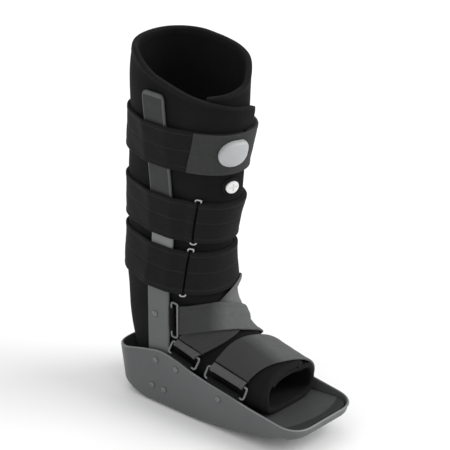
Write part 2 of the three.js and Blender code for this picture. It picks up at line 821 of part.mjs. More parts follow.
const finishes = {
  shell: { color: 0x53565a, roughness: 0.55, metalness: 0 },
  insole: { color: 0x3c3e41, roughness: 0.85, metalness: 0 },
  upright: { color: 0x54575b, roughness: 0.45, metalness: 0.3 },
  liner: { color: 0x1b1b1d, roughness: 0.95, metalness: 0 },
  blackWeb: { color: 0x1d1d1f, roughness: 0.9, metalness: 0 },
  greyWeb: { color: 0x4b4d50, roughness: 0.9, metalness: 0 },
  wire: { color: 0x8d9094, roughness: 0.35, metalness: 0.8 },
  rivet: { color: 0x6a6d71, roughness: 0.4, metalness: 0.6 },
  bulb: { color: 0xb9bcc0, roughness: 0.35, metalness: 0 },
  valve: { color: 0xe8e8e6, roughness: 0.4, metalness: 0 },
};

function addPiece(name, geometry, finish) {
  geometry.computeVertexNormals();
  const mesh = new THREE.Mesh(geometry, new THREE.MeshStandardMaterial(finishes[finish]));
  mesh.name = name;
  group.add(mesh);
}

// Rivets: where each lies along the sole and up, and what it holds.
const rivetTable = [
  { name: 'upright_top', at: 0.251, up: 0.812, holds: 'upright' },
  { name: 'upright_heel', at: 0.226, up: 0.325, holds: 'upright' },
  { name: 'upright_toe', at: 0.291, up: 0.322, holds: 'upright' },
  { name: 'instep', at: 0.3625, up: 0.79, holds: 'webbing' },
  { name: 'forefoot', at: 0.591, up: 0.585, holds: 'webbing' },
];
const ankleRivetAt = 0.236;

function wallFace(y, z) {
  const low = keelAt(y) + soleRound;
  const lift = THREE.MathUtils.clamp((z - low) / (rimAt(y) - low), 0, 1);
  return halfWidth - wallLean * (1 - lift);
}

const rivetSpots = rivetTable.map(({ name, at, up, holds }) => ({
  name,
  y: yAt(at),
  z: up * shellHeight,
  holds,
}));
const eyeRadius = ringWire / 2 + clearance + tabThick;
const ankleRingLow = shellHeight + footRingHeight + 2 * eyeRadius + ankleRingGap;
const ankleRingHigh = ankleRingLow + ankleStrapWidth + 2 * ringWire + 2 * clearance;
const ankleMiddle = (ankleRingLow + ankleRingHigh) / 2;
const ankleSpot = { y: yAt(ankleRivetAt), z: ankleMiddle };
const holeRadius = rivetShank / 2 + clearance;

let shell = buildShell();
for (const spot of rivetSpots) shell = drillAcross(shell, spot, holeRadius);
addPiece('base_shell', shell, 'shell');
addPiece('insole', buildInsole(), 'insole');

const uprights = [-1, 1].map((side) => {
  let body = buildStrut(side);
  for (const spot of rivetSpots) {
    if (spot.holds === 'upright') body = drillAcross(body, spot, holeRadius);
  }
  if (side < 0) body = drillAcross(body, ankleSpot, holeRadius);
  addPiece(side < 0 ? 'upright_right' : 'upright_left', body, 'upright');
  return body;
});

addPiece('liner', buildLiner(), 'liner');
const core = linerCore();

// Calf straps
const legBodies = [core, ...uprights];

function wireRound({ bodies, low, width, place, lean }) {
  const reach = loopWidth / 2 - loopWire / 2;
  const corner = (round, z) => {
    const { frame, line, front } = legLoop(bodies, z);
    const [spot] = stepsAlong(line, front + round, front + round + 1, 2);
    const out = frame.across.clone().multiplyScalar(spot.out[0]).addScaledVector(frame.over, spot.out[1]);
    return toSpace(frame, spot.point).addScaledVector(out, strapSeat + loopWire / 2 + clearance);
  };
  const past = loopOverhang / width;
  const sideOf = (offset) => [-past, 0.5, 1 + past].map((share) => {
    return corner(place + lean * (1 - share) + offset, low + width * share);
  });
  return wireLoop([...sideOf(reach), ...sideOf(-reach).reverse()], loopWire / 2, loopWire);
}

// A second layer on a strap, a little narrower so that the edge below shows
function topStrip(band, low, ends) {
  return legStrap({ bodies: [band], low: low + edgeStep, width: calfStrapWidth - 2 * edgeStep, ...ends });
}

const besideLoop = loopWidth / 2 + 3 * clearance;
const lowLayers = [];
for (const row of calfTable.filter(({ loop }) => loop !== undefined)) {
  const { name } = row;
  const low = row.up * bootHeight;
  const place = row.loop * soleWidth;
  const lean = row.lean * soleWidth;
  const from = place + besideLoop;
  const shape = { bodies: legBodies, low, width: calfStrapWidth, lean };
  const band = legStrap({ ...shape, from, to: place - besideLoop, steps: 38 });
  const fold = topStrip(band, low, { from, to: from + foldLength, lean, steps: 14 });
  addPiece(`strap_${name}`, band, 'blackWeb');
  addPiece(`loop_${name}`, wireRound({ ...shape, place }), 'wire');
  addPiece(`strap_${name}_fold`, fold, 'blackWeb');
  if (name === 'low') lowLayers.push(band, fold);
}

const topShape = { bodies: legBodies, low: topStrapBottom, width: calfStrapWidth, lean: 0 };
const topBand = legStrap({ ...topShape, from: 0, to: -besideLoop, steps: 38 });
addPiece('strap_top', topBand, 'blackWeb');
const topTab = topStrip(topBand, topStrapBottom, { from: topTabFrom, to: topTabTo, lean: 0, steps: 18 });
addPiece('strap_top_tab', topTab, 'greyWeb');

const bulbRows = [
  { share: 0.35, height: 0 },
  { share: 0.7, height: 0 },
  { share: 1, height: 0 },
  { share: 1, height: bulbHeight * 0.35 },
  { share: 0.93, height: bulbHeight * 0.7 },
  { share: 0.72, height: bulbHeight * 0.95 },
  { share: 0.35, height: bulbHeight },
];
const bulbSpot = { round: bulbRound, z: topStrapBottom + bulbUpStrap * calfStrapWidth };
const bulbSquare = 4;
addPiece('pump_bulb', surfaceBoss([topTab], bulbSpot, roundOutline(bulbAcross, bulbSquare), bulbRows), 'bulb');

const valveSpot = { round: valveRound, z: topStrapBottom - valveDrop };
const collarRows = [
  { share: 0.4, height: 0 },
  { share: 1, height: 0 },
  { share: 1, height: collarHeight },
  { share: 0.4, height: collarHeight },
];
const collar = surfaceBoss([core], valveSpot, roundOutline(collarAcross, 2), collarRows);
addPiece('valve_collar', collar, 'blackWeb');
const capBase = collarHeight + clearance;
const valveRows = [
  { share: 0.5, height: capBase },
  { share: 1, height: capBase },
  { share: 0.95, height: capBase + valveHeight },
  { share: 0.5, height: capBase + valveHeight },
];
const cap = surfaceBoss([core], valveSpot, roundOutline(valveAcross, 2), valveRows);
addPiece('valve_cap', cap, 'valve');

// Foot rings: frames of wire that lean in over the shell's rim, held by
// webbing tabs riveted inside the wall.
const ringTable = [
  { name: 'instep', from: 0.318, to: 0.462, strapWidth: instepStrapWidth },
  { name: 'forefoot', from: 0.512, to: 0.718, strapWidth: forefootStrapWidth },
];

// Outer face of each webbing tab, which hangs down inside the leaning wall
const webFace = Object.fromEntries(ringTable.map(({ name, to }) => {
  const lean = (wallLean * (tabDepth + eyeRadius)) / (rimAt(yAt(to)) - floorAt(yAt(to)));
  return [name, halfWidth - shellWall - lean - clearance];
}));

function rimBar(from, to, face) {
  const ends = [yAt(from), yAt(to)];
  const slope = (rimAt(ends[1]) - rimAt(ends[0])) / (ends[1] - ends[0]);
  let rise = 0;
  for (let i = 0; i <= 10; i += 1) {
    const y = ends[0] + ((ends[1] - ends[0]) * i) / 10;
    rise = Math.max(rise, rimAt(y) - rimAt(ends[0]) - slope * (y - ends[0]));
  }
  const x = -(face - tabThick + eyeRadius);
  return ends.map((y) => {
    return new THREE.Vector3(x, y, rimAt(ends[0]) + slope * (y - ends[0]) + rise + eyeRadius + 2 * clearance);
  });
}

function footRing({ name, from, to, strapWidth }) {
  const bar = rimBar(from, to, webFace[name]);
  const along = bar[1].clone().sub(bar[0]).normalize();
  const inward = new THREE.Vector3(1, 0, 0);
  const up = inward.clone().cross(along).normalize();
  if (up.z < 0) up.negate();
  const lean = up.clone().multiplyScalar(footRingHeight).addScaledVector(inward, footRingLean);
  const upper = bar.map((end) => end.clone().add(lean));
  addPiece(`ring_${name}`, wireLoop([bar[0], bar[1], upper[1], upper[0]], ringWire / 2, ringBend), 'wire');
  const inside = bar[0].distanceTo(bar[1]) - ringWire - 2 * ringBend;
  let tab = webTab({ bar, width: inside, inward, tail: up.clone().negate(), length: tabDepth + eyeRadius });
  tab = drillAcross(tab, rivetSpots.find((spot) => spot.name === name), holeRadius);
  addPiece(`tab_${name}`, tab, 'blackWeb');
  const middle = upper[0].clone().lerp(upper[1], 0.5);
  return [-0.5, 0.5].map((share) => middle.clone().addScaledVector(along, strapWidth * share));
}

const [instepBar, forefootBar] = ringTable.map(footRing);

// The ankle ring stands in front of the right upright on a tab that runs back
// between upright and liner.
const strutEdge = strutY - strutWidth / 2;
const ankleTabFace = strutFace(ankleRingHigh) - strutThick - clearance;
const ankleX = -(ankleTabFace - tabThick + eyeRadius);
const ankleBack = strutEdge - eyeRadius - clearance;
const ankleFront = ankleBack - ankleRingDepth;
const anklePoint = (y, z) => new THREE.Vector3(ankleX, y, z);
addPiece('ring_ankle', wireLoop([
  anklePoint(ankleBack, ankleRingLow),
  anklePoint(ankleFront, ankleRingLow),
  anklePoint(ankleFront, ankleRingHigh),
  anklePoint(ankleBack, ankleRingHigh),
], ringWire / 2, ringBend), 'wire');
const ankleTab = webTab({
  bar: [anklePoint(ankleBack, ankleRingLow), anklePoint(ankleBack, ankleRingHigh)],
  width: ankleStrapWidth - 2 * ringBend,
  inward: new THREE.Vector3(1, 0, 0),
  tail: new THREE.Vector3(0, 1, 0),
  length: strutWidth * 0.8,
});
addPiece('tab_ankle', drillAcross(ankleTab, ankleSpot, holeRadius), 'blackWeb');
const ankleBar = [0.5, -0.5].map((share) => anklePoint(ankleFront, ankleMiddle + ankleStrapWidth * share));

// Foot straps, each given by a line on top of the foot and one on the left
// side: heel edge first, then toe edge.
const lineAcross = (rows) => rows.map(({ side, at, up }) => {
  return new THREE.Vector3(side * halfWidth, yAt(at), up * bootHeight);
});
const instepOver = lineAcross([
  { side: 0.37, at: 0.460, up: 0.358 },
  { side: 0.37, at: 0.545, up: 0.262 },
]);
const instepAnchor = lineAcross([
  { side: 0.92, at: 0.215, up: 0.250 },
  { side: 0.92, at: 0.215, up: 0.175 },
]);
const ankleOver = lineAcross([
  { side: 0.37, at: 0.474, up: 0.284 },
  { side: 0.37, at: 0.595, up: 0.233 },
]);
const ankleAnchor = lineAcross([
  { side: 0.88, at: 0.330, up: 0.190 },
  { side: 0.88, at: 0.445, up: 0.150 },
]);
const forefootOver = lineAcross([
  { side: 0.37, at: 0.620, up: 0.228 },
  { side: 0.37, at: 0.800, up: 0.202 },
]);
const forefootAnchor = lineAcross([
  { side: 0.88, at: 0.650, up: 0.100 },
  { side: 0.88, at: 0.790, up: 0.095 },
]);

const downTo = (place, end) => place.z < end.z;
const backTo = (place, end) => place.y > end.y;
const instep = footStrap({
  bodies: [core, uprights[1]],
  straps: lowLayers,
  bar: instepBar,
  over: instepOver,
  anchor: instepAnchor,
  stop: backTo,
  steps: 26,
});
addPiece('strap_instep', instep, 'greyWeb');
addPiece('strap_ankle', footStrap({
  bodies: [core],
  straps: [instep, ...lowLayers],
  bar: ankleBar,
  over: ankleOver,
  anchor: ankleAnchor,
  stop: downTo,
  steps: 26,
}), 'greyWeb');
addPiece('strap_forefoot', footStrap({
  bodies: [core],
  straps: [instep],
  bar: forefootBar,
  over: forefootOver,
  anchor: forefootAnchor,
  stop: downTo,
  steps: 24,
}), 'greyWeb');

// Rivets on both sides
for (const side of [-1, 1]) {
  const where = side < 0 ? 'right' : 'left';
  for (const { name, y, z, holds } of rivetSpots) {
    const seat = wallFace(y, z);
    const inner = holds === 'upright' ? strutFace(z) - strutThick : webFace[name] - tabThick;
    const grip = seat - inner + 2 * clearance;
    const body = buildRivet({ seat, y, z, grip, tail: true, side });
    addPiece(`rivet_${where}_${name}`, body, 'rivet');
  }
}
addPiece('rivet_right_ankle', buildRivet({
  seat: strutFace(ankleSpot.z),
  y: ankleSpot.y,
  z: ankleSpot.z,
  grip: strutThick + 2 * clearance,
  tail: false,
  side: -1,
}), 'rivet');

export default group;
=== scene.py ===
# %% [markdown]
# # A medical walking boot
# A rocker-soled plastic shell carries two riveted uprights. A thick foam liner
# stands inside them, a shaft and a toe part in one, and three calf straps and
# three lower straps pull it shut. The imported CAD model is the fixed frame: every
# piece made here lies where that model says, in metres, with the toe end towards
# -Y and the boot's right side towards -X.

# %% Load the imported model
import math
import bpy
import numpy as np
from mathutils import Matrix


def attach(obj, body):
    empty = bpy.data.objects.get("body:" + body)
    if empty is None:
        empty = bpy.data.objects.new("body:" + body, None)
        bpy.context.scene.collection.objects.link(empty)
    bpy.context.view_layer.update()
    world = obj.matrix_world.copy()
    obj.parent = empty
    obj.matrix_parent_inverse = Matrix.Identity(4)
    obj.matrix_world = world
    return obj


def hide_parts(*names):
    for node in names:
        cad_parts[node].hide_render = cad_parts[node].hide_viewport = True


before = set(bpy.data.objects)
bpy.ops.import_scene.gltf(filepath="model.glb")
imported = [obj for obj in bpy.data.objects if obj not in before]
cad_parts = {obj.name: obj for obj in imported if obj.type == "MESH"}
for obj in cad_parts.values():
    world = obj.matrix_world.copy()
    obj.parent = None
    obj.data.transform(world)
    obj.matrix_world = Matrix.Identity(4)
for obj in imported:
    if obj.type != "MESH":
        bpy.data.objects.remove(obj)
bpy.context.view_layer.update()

# %% [markdown]
# ## The camera
# A long lens from well above the toe end, a little to the boot's right, gives the
# flat perspective of a product shot. A camera can be dragged into place by hand.
# Here it is placed by its turn round the boot, its height over the horizon and
# the scale of the picture, because those three can be read off a photograph.

# %% Place the camera
LENS, SENSOR, PICTURE = 180.0, 36.0, 450.0
PIXELS_PER_METRE = 850.0
TURN, HEIGHT = math.radians(-48.3), math.radians(24.46)
ANCHOR, ANCHOR_PIXEL = np.array([0.0, 0.03763, 0.0]), np.array([176.5, 382.93])


def stand(thing, columns, place):
    """Puts a camera or a lamp at a place; the columns are its own X, Y and Z."""
    thing.matrix_world = Matrix([[*columns[i], place[i]] for i in range(3)] + [[0, 0, 0, 1]])
    bpy.context.collection.objects.link(thing)


back = np.array([math.sin(TURN) * math.cos(HEIGHT), -math.cos(TURN) * math.cos(HEIGHT), math.sin(HEIGHT)])
right = np.array([math.cos(TURN), math.sin(TURN), 0.0])
upward = np.cross(back, right)
off_centre = (ANCHOR_PIXEL - PICTURE / 2) / PIXELS_PER_METRE
distance = LENS / SENSOR * PICTURE / PIXELS_PER_METRE
camera_place = ANCHOR - right * off_centre[0] + upward * off_centre[1] + back * distance
camera = bpy.data.objects.new("camera", bpy.data.cameras.new("camera"))
camera.data.lens, camera.data.sensor_width = LENS, SENSOR
camera.data.clip_start, camera.data.clip_end = 0.1, 20.0
stand(camera, np.stack([right, upward, back], axis=1), camera_place)
bpy.context.scene.camera = camera
print("camera at", np.round(camera_place, 3), "metres")

# %% [markdown]
# ## The numbers behind the shapes
# The boot's forms are described by a few tables: heights of the shell along its
# length, the shaft's front and back at each height, sections that fan from the
# ankle to the toe opening, and the height of the liner's top edge all round. Each
# entry is a share of one of the boot's sizes, so the tables read like a tailor's
# pattern. Turns are in degrees, from the front towards the boot's right.

# %% Sizes, in metres
SOLE_LENGTH, SOLE_WIDTH, BOOT_HEIGHT = 0.281, 0.109, 0.430
HALF = SOLE_WIDTH / 2
SHELL_HEIGHT, ROCKER_RISE, SHELL_WALL = 0.072, 0.027, 0.003
WALL_LEAN, HEEL_LEAN = 0.002, 0.005
HEEL_CORNER, TOE_CORNER, SOLE_ROUND = 0.033, 0.030, 0.007
FLOOR_THICK, INSOLE_THICK = 0.012, 0.011
STRUT_TOP, STRUT_WIDTH, STRUT_THICK, STRUT_AT = 0.386, 0.032, 0.004, 0.25
FOAM, GAP = 0.006, 0.0003
FLAT_FROM, FLAT_TO = 0.19, 0.45
CALF_WIDTH, LOW_STRAP, MIDDLE_STRAP, TOP_STRAP = 0.051, 0.149, 0.212, 0.299
print("sole", SOLE_LENGTH, "by", SOLE_WIDTH, "and", BOOT_HEIGHT, "high, in metres")

# %% Tables of shares
SHELL = {
    "at": [0.00, 0.08, 0.13, 0.19, 0.28, 0.36, 0.45, 0.50, 0.65, 0.76, 0.86, 1.00],
    "rim": [0.78, 0.83, 0.88, 0.94, 1.00, 0.96, 0.86, 0.82, 0.73, 0.65, 0.60, 0.53],
    "keel": [0.52, 0.30, 0.12, 0.00, 0.00, 0.00, 0.00, 0.04, 0.25, 0.45, 0.70, 0.98],
    "plate": [0.25, 0.50, 0.80, 1.00, 1.00, 1.00, 1.00, 1.00, 0.88, 0.80, 0.63, 0.45],
    "foam": [1.00, 1.00, 1.00, 1.00, 1.00, 1.00, 1.00, 1.00, 1.00, 0.95, 0.75, 0.50],
}
STRUT = {
    "up": [0.00, 0.35, 0.43, 0.50, 0.57, 0.62, 0.70, 0.80, 0.88, 1.00],
    "side": [0.900, 0.900, 0.800, 0.752, 0.765, 0.788, 0.848, 0.925, 0.985, 1.020],
}
SHAFT = {
    "up": [0.35, 0.42, 0.49, 0.56, 0.61, 0.70, 0.80, 0.87, 0.94, 1.00],
    "front": [0.456, 0.456, 0.466, 0.490, 0.512, 0.524, 0.558, 0.570, 0.572, 0.568],
    "back": [-0.034, -0.036, -0.036, -0.032, -0.028, -0.018, 0.004, 0.012, 0.022, 0.045],
}
FAN = {
    "over": [0.470, 0.494, 0.517, 0.538, 0.560, 0.582, 0.606, 0.636, 0.671, 0.710, 0.750, 0.782, 0.810],
    "rise": [0.305, 0.281, 0.264, 0.253, 0.244, 0.237, 0.232, 0.227, 0.221, 0.213, 0.205, 0.199, 0.194],
    "under": [-0.03, -0.02, -0.001, 0.03, 0.08, 0.16, 0.258, 0.372, 0.490, 0.596, 0.686, 0.756, 0.808],
    "lift": [0.220, 0.148, 0.092, 0.045, 0.015, 0, 0, 0, 0, 0, 0, 0, 0],
    "side": [0.938, 0.950, 0.952, 0.948, 0.945, 0.950, 0.960, 0.968, 0.978, 0.978, 0.968, 0.955, 0.936],
}
RIM = {
    "turn": [-24, 0, 30, 60, 84, 108, 132, 180, 252, 288, 312, 336, 360, 408],
    "up": [0.862, 0.874, 0.888, 0.904, 0.930, 0.965, 0.990, 1.000, 0.998, 0.988, 0.970, 0.942, 0.922, 0.902],
}
print(len(SHAFT["up"]), "levels of the shaft and", len(FAN["over"]), "sections in the fan")

# %% [markdown]
# A table has few rows, and the shapes need a value anywhere between them. A plain
# line through the rows would show as creases, so the tables are read along smooth
# curves that keep flat stretches flat, as a draughtsman's batten does.


# %% Reading the tables
def y_at(share):
    """Place along the boot: the flat's middle is 0 and the heel end is +Y."""
    return ((FLAT_FROM + FLAT_TO) / 2 - np.asarray(share)) * SOLE_LENGTH


def share_at(y):
    """The share of the sole's length, from the heel, at a place along Y."""
    return (FLAT_FROM + FLAT_TO) / 2 - np.asarray(y) / SOLE_LENGTH


def ramp(t):
    """0 below 0, 1 above 1 and an even S between them: 3t^2 - 2t^3."""
    t = np.clip(t, 0, 1)
    return t * t * (3 - 2 * t)


def read(table, key, column, where):
    """A smooth curve through a table's column. Each slope at a row is the
    harmonic mean of the slopes beside it, or nothing where they disagree, so
    the curve never swings past a value of the table."""
    x, y = np.array(table[key], float), np.array(table[column], float)
    slope = np.diff(y) / np.diff(x)
    same = slope[:-1] * slope[1:] > 0
    total = np.where(same, slope[:-1] + slope[1:], 1)
    inner = np.where(same, 2 * slope[:-1] * slope[1:] / total, 0)
    lean = np.concatenate([slope[:1], inner, slope[-1:]])
    where = np.clip(where, x[0], x[-1])
    i = np.clip(np.searchsorted(x, where, side="right") - 1, 0, len(x) - 2)
    span = x[i + 1] - x[i]
    t = (where - x[i]) / span
    return y[i] + (y[i + 1] - y[i]) * ramp(t) + span * t * (1 - t) * (lean[i] * (1 - t) - lean[i + 1] * t)


def keel_at(y):
    """Height of the sole's underside."""
    return read(SHELL, "at", "keel", share_at(y)) * ROCKER_RISE


def rim_at(y):
    """Height of the shell's rim."""
    return read(SHELL, "at", "rim", share_at(y)) * SHELL_HEIGHT


def floor_at(y):
    """Height of the shell's floor."""
    return keel_at(y) + read(SHELL, "at", "plate", share_at(y)) * FLOOR_THICK


def insole_at(y):
    """Height of the footbed's top."""
    return floor_at(y) + GAP + read(SHELL, "at", "foam", share_at(y)) * INSOLE_THICK


STRUT_Y = float(y_at(STRUT_AT))
print("shell rim heights, mm:", np.round(rim_at(y_at([0, 0.28, 1])) * 1000, 1))

# %% [markdown]
# ## From numbers to meshes
# Nearly every piece is a grid of places, row by row. One helper turns such grids
# into a mesh. A second one turns a middle surface into a sheet with a thickness
# that falls to nothing along its border like a quarter circle, which gives
# cloth, foam and bent metal the soft edge that catches the light. Solidify and
# Bevel modifiers do much the same, but a made edge keeps its own flat map.

# %% Directions, lengths and flat maps
def unit(vectors):
    """Vectors of length one."""
    return vectors / np.maximum(np.linalg.norm(vectors, axis=-1, keepdims=True), 1e-12)


def run_of(line):
    """The length along a line up to each of its points."""
    return np.concatenate([[0], np.cumsum(np.linalg.norm(np.diff(line, axis=0), axis=-1))])


def normals_of(grid):
    """The way out of a grid: the cross product of its two directions."""
    return unit(np.cross(np.gradient(grid, axis=1), np.gradient(grid, axis=0)))


def flat_map(along, across):
    """A flat map in metres for a grid with a row for each value of across."""
    return np.stack(np.broadcast_arrays(along[None], across[:, None]), axis=-1)


print("lengths along three sides of a unit square:", run_of(np.array([[0, 0], [1, 0], [1, 1], [0, 1.0]])))

# %% [markdown]
# A grid becomes a mesh of squares. Where rows or columns meet, as at a rim or a
# pole, a Weld modifier joins the corners and is applied at once, which is surer
# than keeping count of the shared ones. A closed mesh has a volume, and its sign
# tells whether the faces point outwards.

# %% From grids to a piece
WELD_REACH = 1e-6


def grid_faces(rows, cols, round_rows, round_cols):
    """Corner numbers of each square of a grid."""
    number = np.arange(rows * cols).reshape(rows, cols)
    if round_rows:
        number = np.concatenate([number, number[:1]])
    if round_cols:
        number = np.concatenate([number, number[:, :1]], axis=1)
    corners = [number[:-1, :-1], number[:-1, 1:], number[1:, 1:], number[1:, :-1]]
    return np.stack(corners, axis=-1).reshape(-1, 4)


def turned_outwards(mesh):
    """Turns the faces where the volume inside them, the sum of the corners'
    triple products, comes out below nothing."""
    mesh.calc_loop_triangles()
    corners, points = np.empty(len(mesh.loop_triangles) * 3, int), np.empty(len(mesh.vertices) * 3)
    mesh.loop_triangles.foreach_get("vertices", corners)
    mesh.vertices.foreach_get("co", points)
    a, b, c = points.reshape(-1, 3)[corners.reshape(-1, 3)].transpose(1, 0, 2)
    if np.sum(a * np.cross(b, c)) < 0:
        mesh.flip_normals()


def piece_from(name, parts, paint, cad=None):
    """A mesh object from grids, each given as (grid, flat map, round_rows,
    round_cols). Corners that meet are welded, and squares that have shrunk to
    nothing go with them. cad is the solid that the piece stands for."""
    places, maps, faces, start = [], [], [], 0
    for grid, flat, round_rows, round_cols in parts:
        rows, cols = grid.shape[:2]
        faces.append(grid_faces(rows, cols, round_rows, round_cols) + start)
        places.append(grid.reshape(-1, 3))
        maps.append((np.zeros((rows, cols, 2)) if flat is None else flat).reshape(-1, 2))
        start += rows * cols
    places, maps, faces = (np.concatenate(values) for values in (places, maps, faces))
    mesh = bpy.data.meshes.new(name)
    mesh.from_pydata(places, [], faces.tolist())
    mesh.uv_layers.new(name="flat").data.foreach_set("uv", maps[faces.ravel()].astype(np.float32).ravel())
    piece = bpy.data.objects.new(name, mesh)
    bpy.context.collection.objects.link(piece)
    piece.modifiers.new("weld", "WELD").merge_threshold = WELD_REACH
    bpy.context.view_layer.update()
    welded = bpy.data.meshes.new_from_object(piece.evaluated_get(bpy.context.evaluated_depsgraph_get()))
    piece.modifiers.clear()
    piece.data = welded
    welded.name = name
    welded.polygons.foreach_set("use_smooth", np.full(len(welded.polygons), True))
    welded.materials.clear()
    welded.materials.append(paint.material)
    turned_outwards(welded)
    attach(piece, "root")
    if cad:
        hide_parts(cad)
    print(f"{name}: {len(welded.vertices)} points, {len(welded.polygons)} faces")
    return piece


print(len(grid_faces(3, 4, False, True)), "squares in a ring of 3 rows and 4 columns")

# %% [markdown]
# A sheet needs points where its edge bends and few elsewhere, so its grid lines
# crowd together along the border. Reading a finished grid between its rows lets
# later pieces, such as tape and straps, be cut from an earlier surface.


# %% Edges and sheets
def edge_steps(length, count, rim):
    """Places from 0 to length: even in between, close together at both ends."""
    bend = rim * (1 - np.cos(np.linspace(0, math.pi / 2, 5)))
    middle = np.linspace(rim, length - rim, count)[1:-1]
    return np.concatenate([bend, middle, length - bend[::-1]])


def edge_round(places, length, rim):
    """1 in the middle, falling to 0 at both ends along a quarter circle."""
    near = np.clip(np.minimum(places, length - places) / rim, 0, 1)
    return np.sqrt(np.clip(1 - (1 - near) ** 2, 0, 1))


def slab(name, middle, out, half, flat, paint, cad):
    """A sheet: its two faces are the middle surface moved by half its thickness
    out and in. Where half is nothing, the faces meet."""
    upper, lower = middle + out * half[..., None], middle - out * half[..., None]
    parts = [(upper, flat, False, False), (lower[::-1], flat[::-1], False, False)]
    return piece_from(name, parts, paint, cad)


def at_rows(grid, where):
    """Reads a grid between its rows, on a smooth curve through four rows."""
    rows = grid.shape[0]
    i = np.clip(np.floor(where).astype(int), 0, rows - 2)
    t = (where - i).reshape((-1,) + (1,) * (grid.ndim - 1))
    a, b, c, d = (grid[np.clip(i + k, 0, rows - 1)] for k in (-1, 0, 1, 2))
    return 0.5 * (2 * b + (c - a) * t + (2 * a - 5 * b + 4 * c - d) * t ** 2 + (3 * b - a - 3 * c + d) * t ** 3)


print("thickness across a rounded edge:", np.round(edge_round(np.linspace(0, 1, 5), 1, 0.5), 2))

# %% [markdown]
# ## Finishes
# Plastic, painted metal, brushed cloth and webbing differ less in colour than in
# how they break up light. Each finish here is a base colour that wanders a
# little, a roughness that wanders with it, and a bump at the real size of the
# grain or weave. Values that are the same all over sit on the shader itself.
# Nodes can be wired by hand in the shader editor. A small class that adds a node
# and wires it in one go keeps the many finishes alike and short to read.

# %% Material helpers
class Finish:
    """A material and the patterns that feed it. Plain values sit on the shader;
    wander is a cloud's (scale, detail, low, high) for the roughness, and grain a
    list of clouds' (scale, detail, height) for the bump."""

    def __init__(self, name, colour, roughness, wander=None, grain=(), **values):
        self.material = bpy.data.materials.new(name)
        self.material.use_nodes = True
        self.nodes, self.links = self.material.node_tree.nodes, self.material.node_tree.links
        self.shader = self.nodes["Principled BSDF"].inputs
        self.feed("Base Color", colour)
        self.feed("Roughness", roughness)
        for key, value in values.items():
            self.feed(key.replace("_", " "), value)
        if wander:
            self.feed("Roughness", self.cloud(*wander))
        if grain:
            self.bumped(*[(self.noise(scale, detail), height) for scale, detail, height in grain])

    def feed(self, side, value, inputs=None):
        """Joins a pattern to an input, or sets the input to a number or colour."""
        socket = (inputs or self.shader)[side]
        if isinstance(value, bpy.types.NodeSocket):
            self.links.new(value, socket)
        else:
            socket.default_value = (*value, 1) if isinstance(value, tuple) else value

    def add(self, kind, *fed, **settings):
        """The outputs of a new node; fed holds its inputs and what they get."""
        node = self.nodes.new("ShaderNode" + kind)
        for key, value in settings.items():
            setattr(node, key, value)
        for side, value in fed:
            self.feed(side, value, node.inputs)
        return node.outputs

    def place(self):
        """X, Y and Z of the place in metres."""
        return self.add("SeparateXYZ", (0, self.add("TexCoord")["Object"]))

    def flat(self):
        """Lengths along and across the piece's own flat map."""
        return self.add("SeparateXYZ", (0, self.add("UVMap", uv_map="flat")["UV"]))

    def noise(self, scale, detail):
        """A cloudy pattern over the piece's own place in metres."""
        return self.add("TexNoise", ("Vector", self.add("TexCoord")["Object"]), ("Scale", scale),
                        ("Detail", detail))["Fac"]

    def waves(self, per_metre, axis):
        """Even ribs along one direction of the piece's own flat map."""
        return self.add("TexWave", ("Vector", self.add("UVMap", uv_map="flat")["UV"]), ("Scale", per_metre / 3.18),
                        ("Distortion", 0.0), wave_type="BANDS", bands_direction=axis, wave_profile="SIN")["Fac"]

    def worked(self, operation, *values):
        """A step of arithmetic on patterns and numbers."""
        return self.add("Math", *enumerate(values), operation=operation)[0]

    def blend(self, share, first, second):
        """A colour between two; each is three numbers or another pattern."""
        return self.add("Mix", (0, share), (6, first), (7, second), data_type="RGBA")[2]

    def spread(self, value, low=0.0, high=1.0, limits=(0.3, 0.7)):
        """Stretches a pattern's values between two colours or two numbers."""
        if isinstance(low, tuple):
            return self.blend(self.spread(value, limits=limits), low, high)
        return self.add("MapRange", *enumerate((value, *limits, low, high)))[0]

    def cloud(self, scale, detail, low, high):
        """A noise between two colours or two numbers."""
        return self.spread(self.noise(scale, detail), low, high)

    def bumped(self, *layers):
        """Bumps laid one on another; each is (pattern, height in metres)."""
        under = []
        for value, height in layers:
            normal = self.add("Bump", ("Height", value), ("Distance", height), ("Strength", 1.0), *under)["Normal"]
            under = [("Normal", normal)]
        self.feed("Normal", normal)


print("finishes are made of the shader nodes of Blender", bpy.app.version_string)

# %% [markdown]
# Hard finishes. The shell's rim is painted a little lighter, a painted highlight:
# the shell's flat map is 1 there and 0 elsewhere. The uprights carry painted light
# between the straps low on the shaft and painted shade higher up, with a painted
# highlight along the edges of the shaded part. The footbed has a band of painted
# shade at its toe end, in front of a bent line. Each of these could be a painted
# picture, but a rule on the place stays sharp at any size.

# %% Plastic, paint, metal and rubber
made = shell_plastic = Finish("moulded_shell", (0.08, 0.084, 0.085), 0.42, (60, 5, 0.36, 0.5),
                              ((1400, 2, 0.00004), (30, 2, 0.0004)), Specular_IOR_Level=0.5)
# The rim rows are painted lighter, a painted highlight; elsewhere the tone wanders at random.
made.feed("Base Color", made.blend(made.spread(made.flat()[0], limits=(0.2, 0.9)),
                                   made.cloud(14, 4, (0.074, 0.078, 0.079), (0.086, 0.09, 0.091)),
                                   (0.17, 0.175, 0.177)))

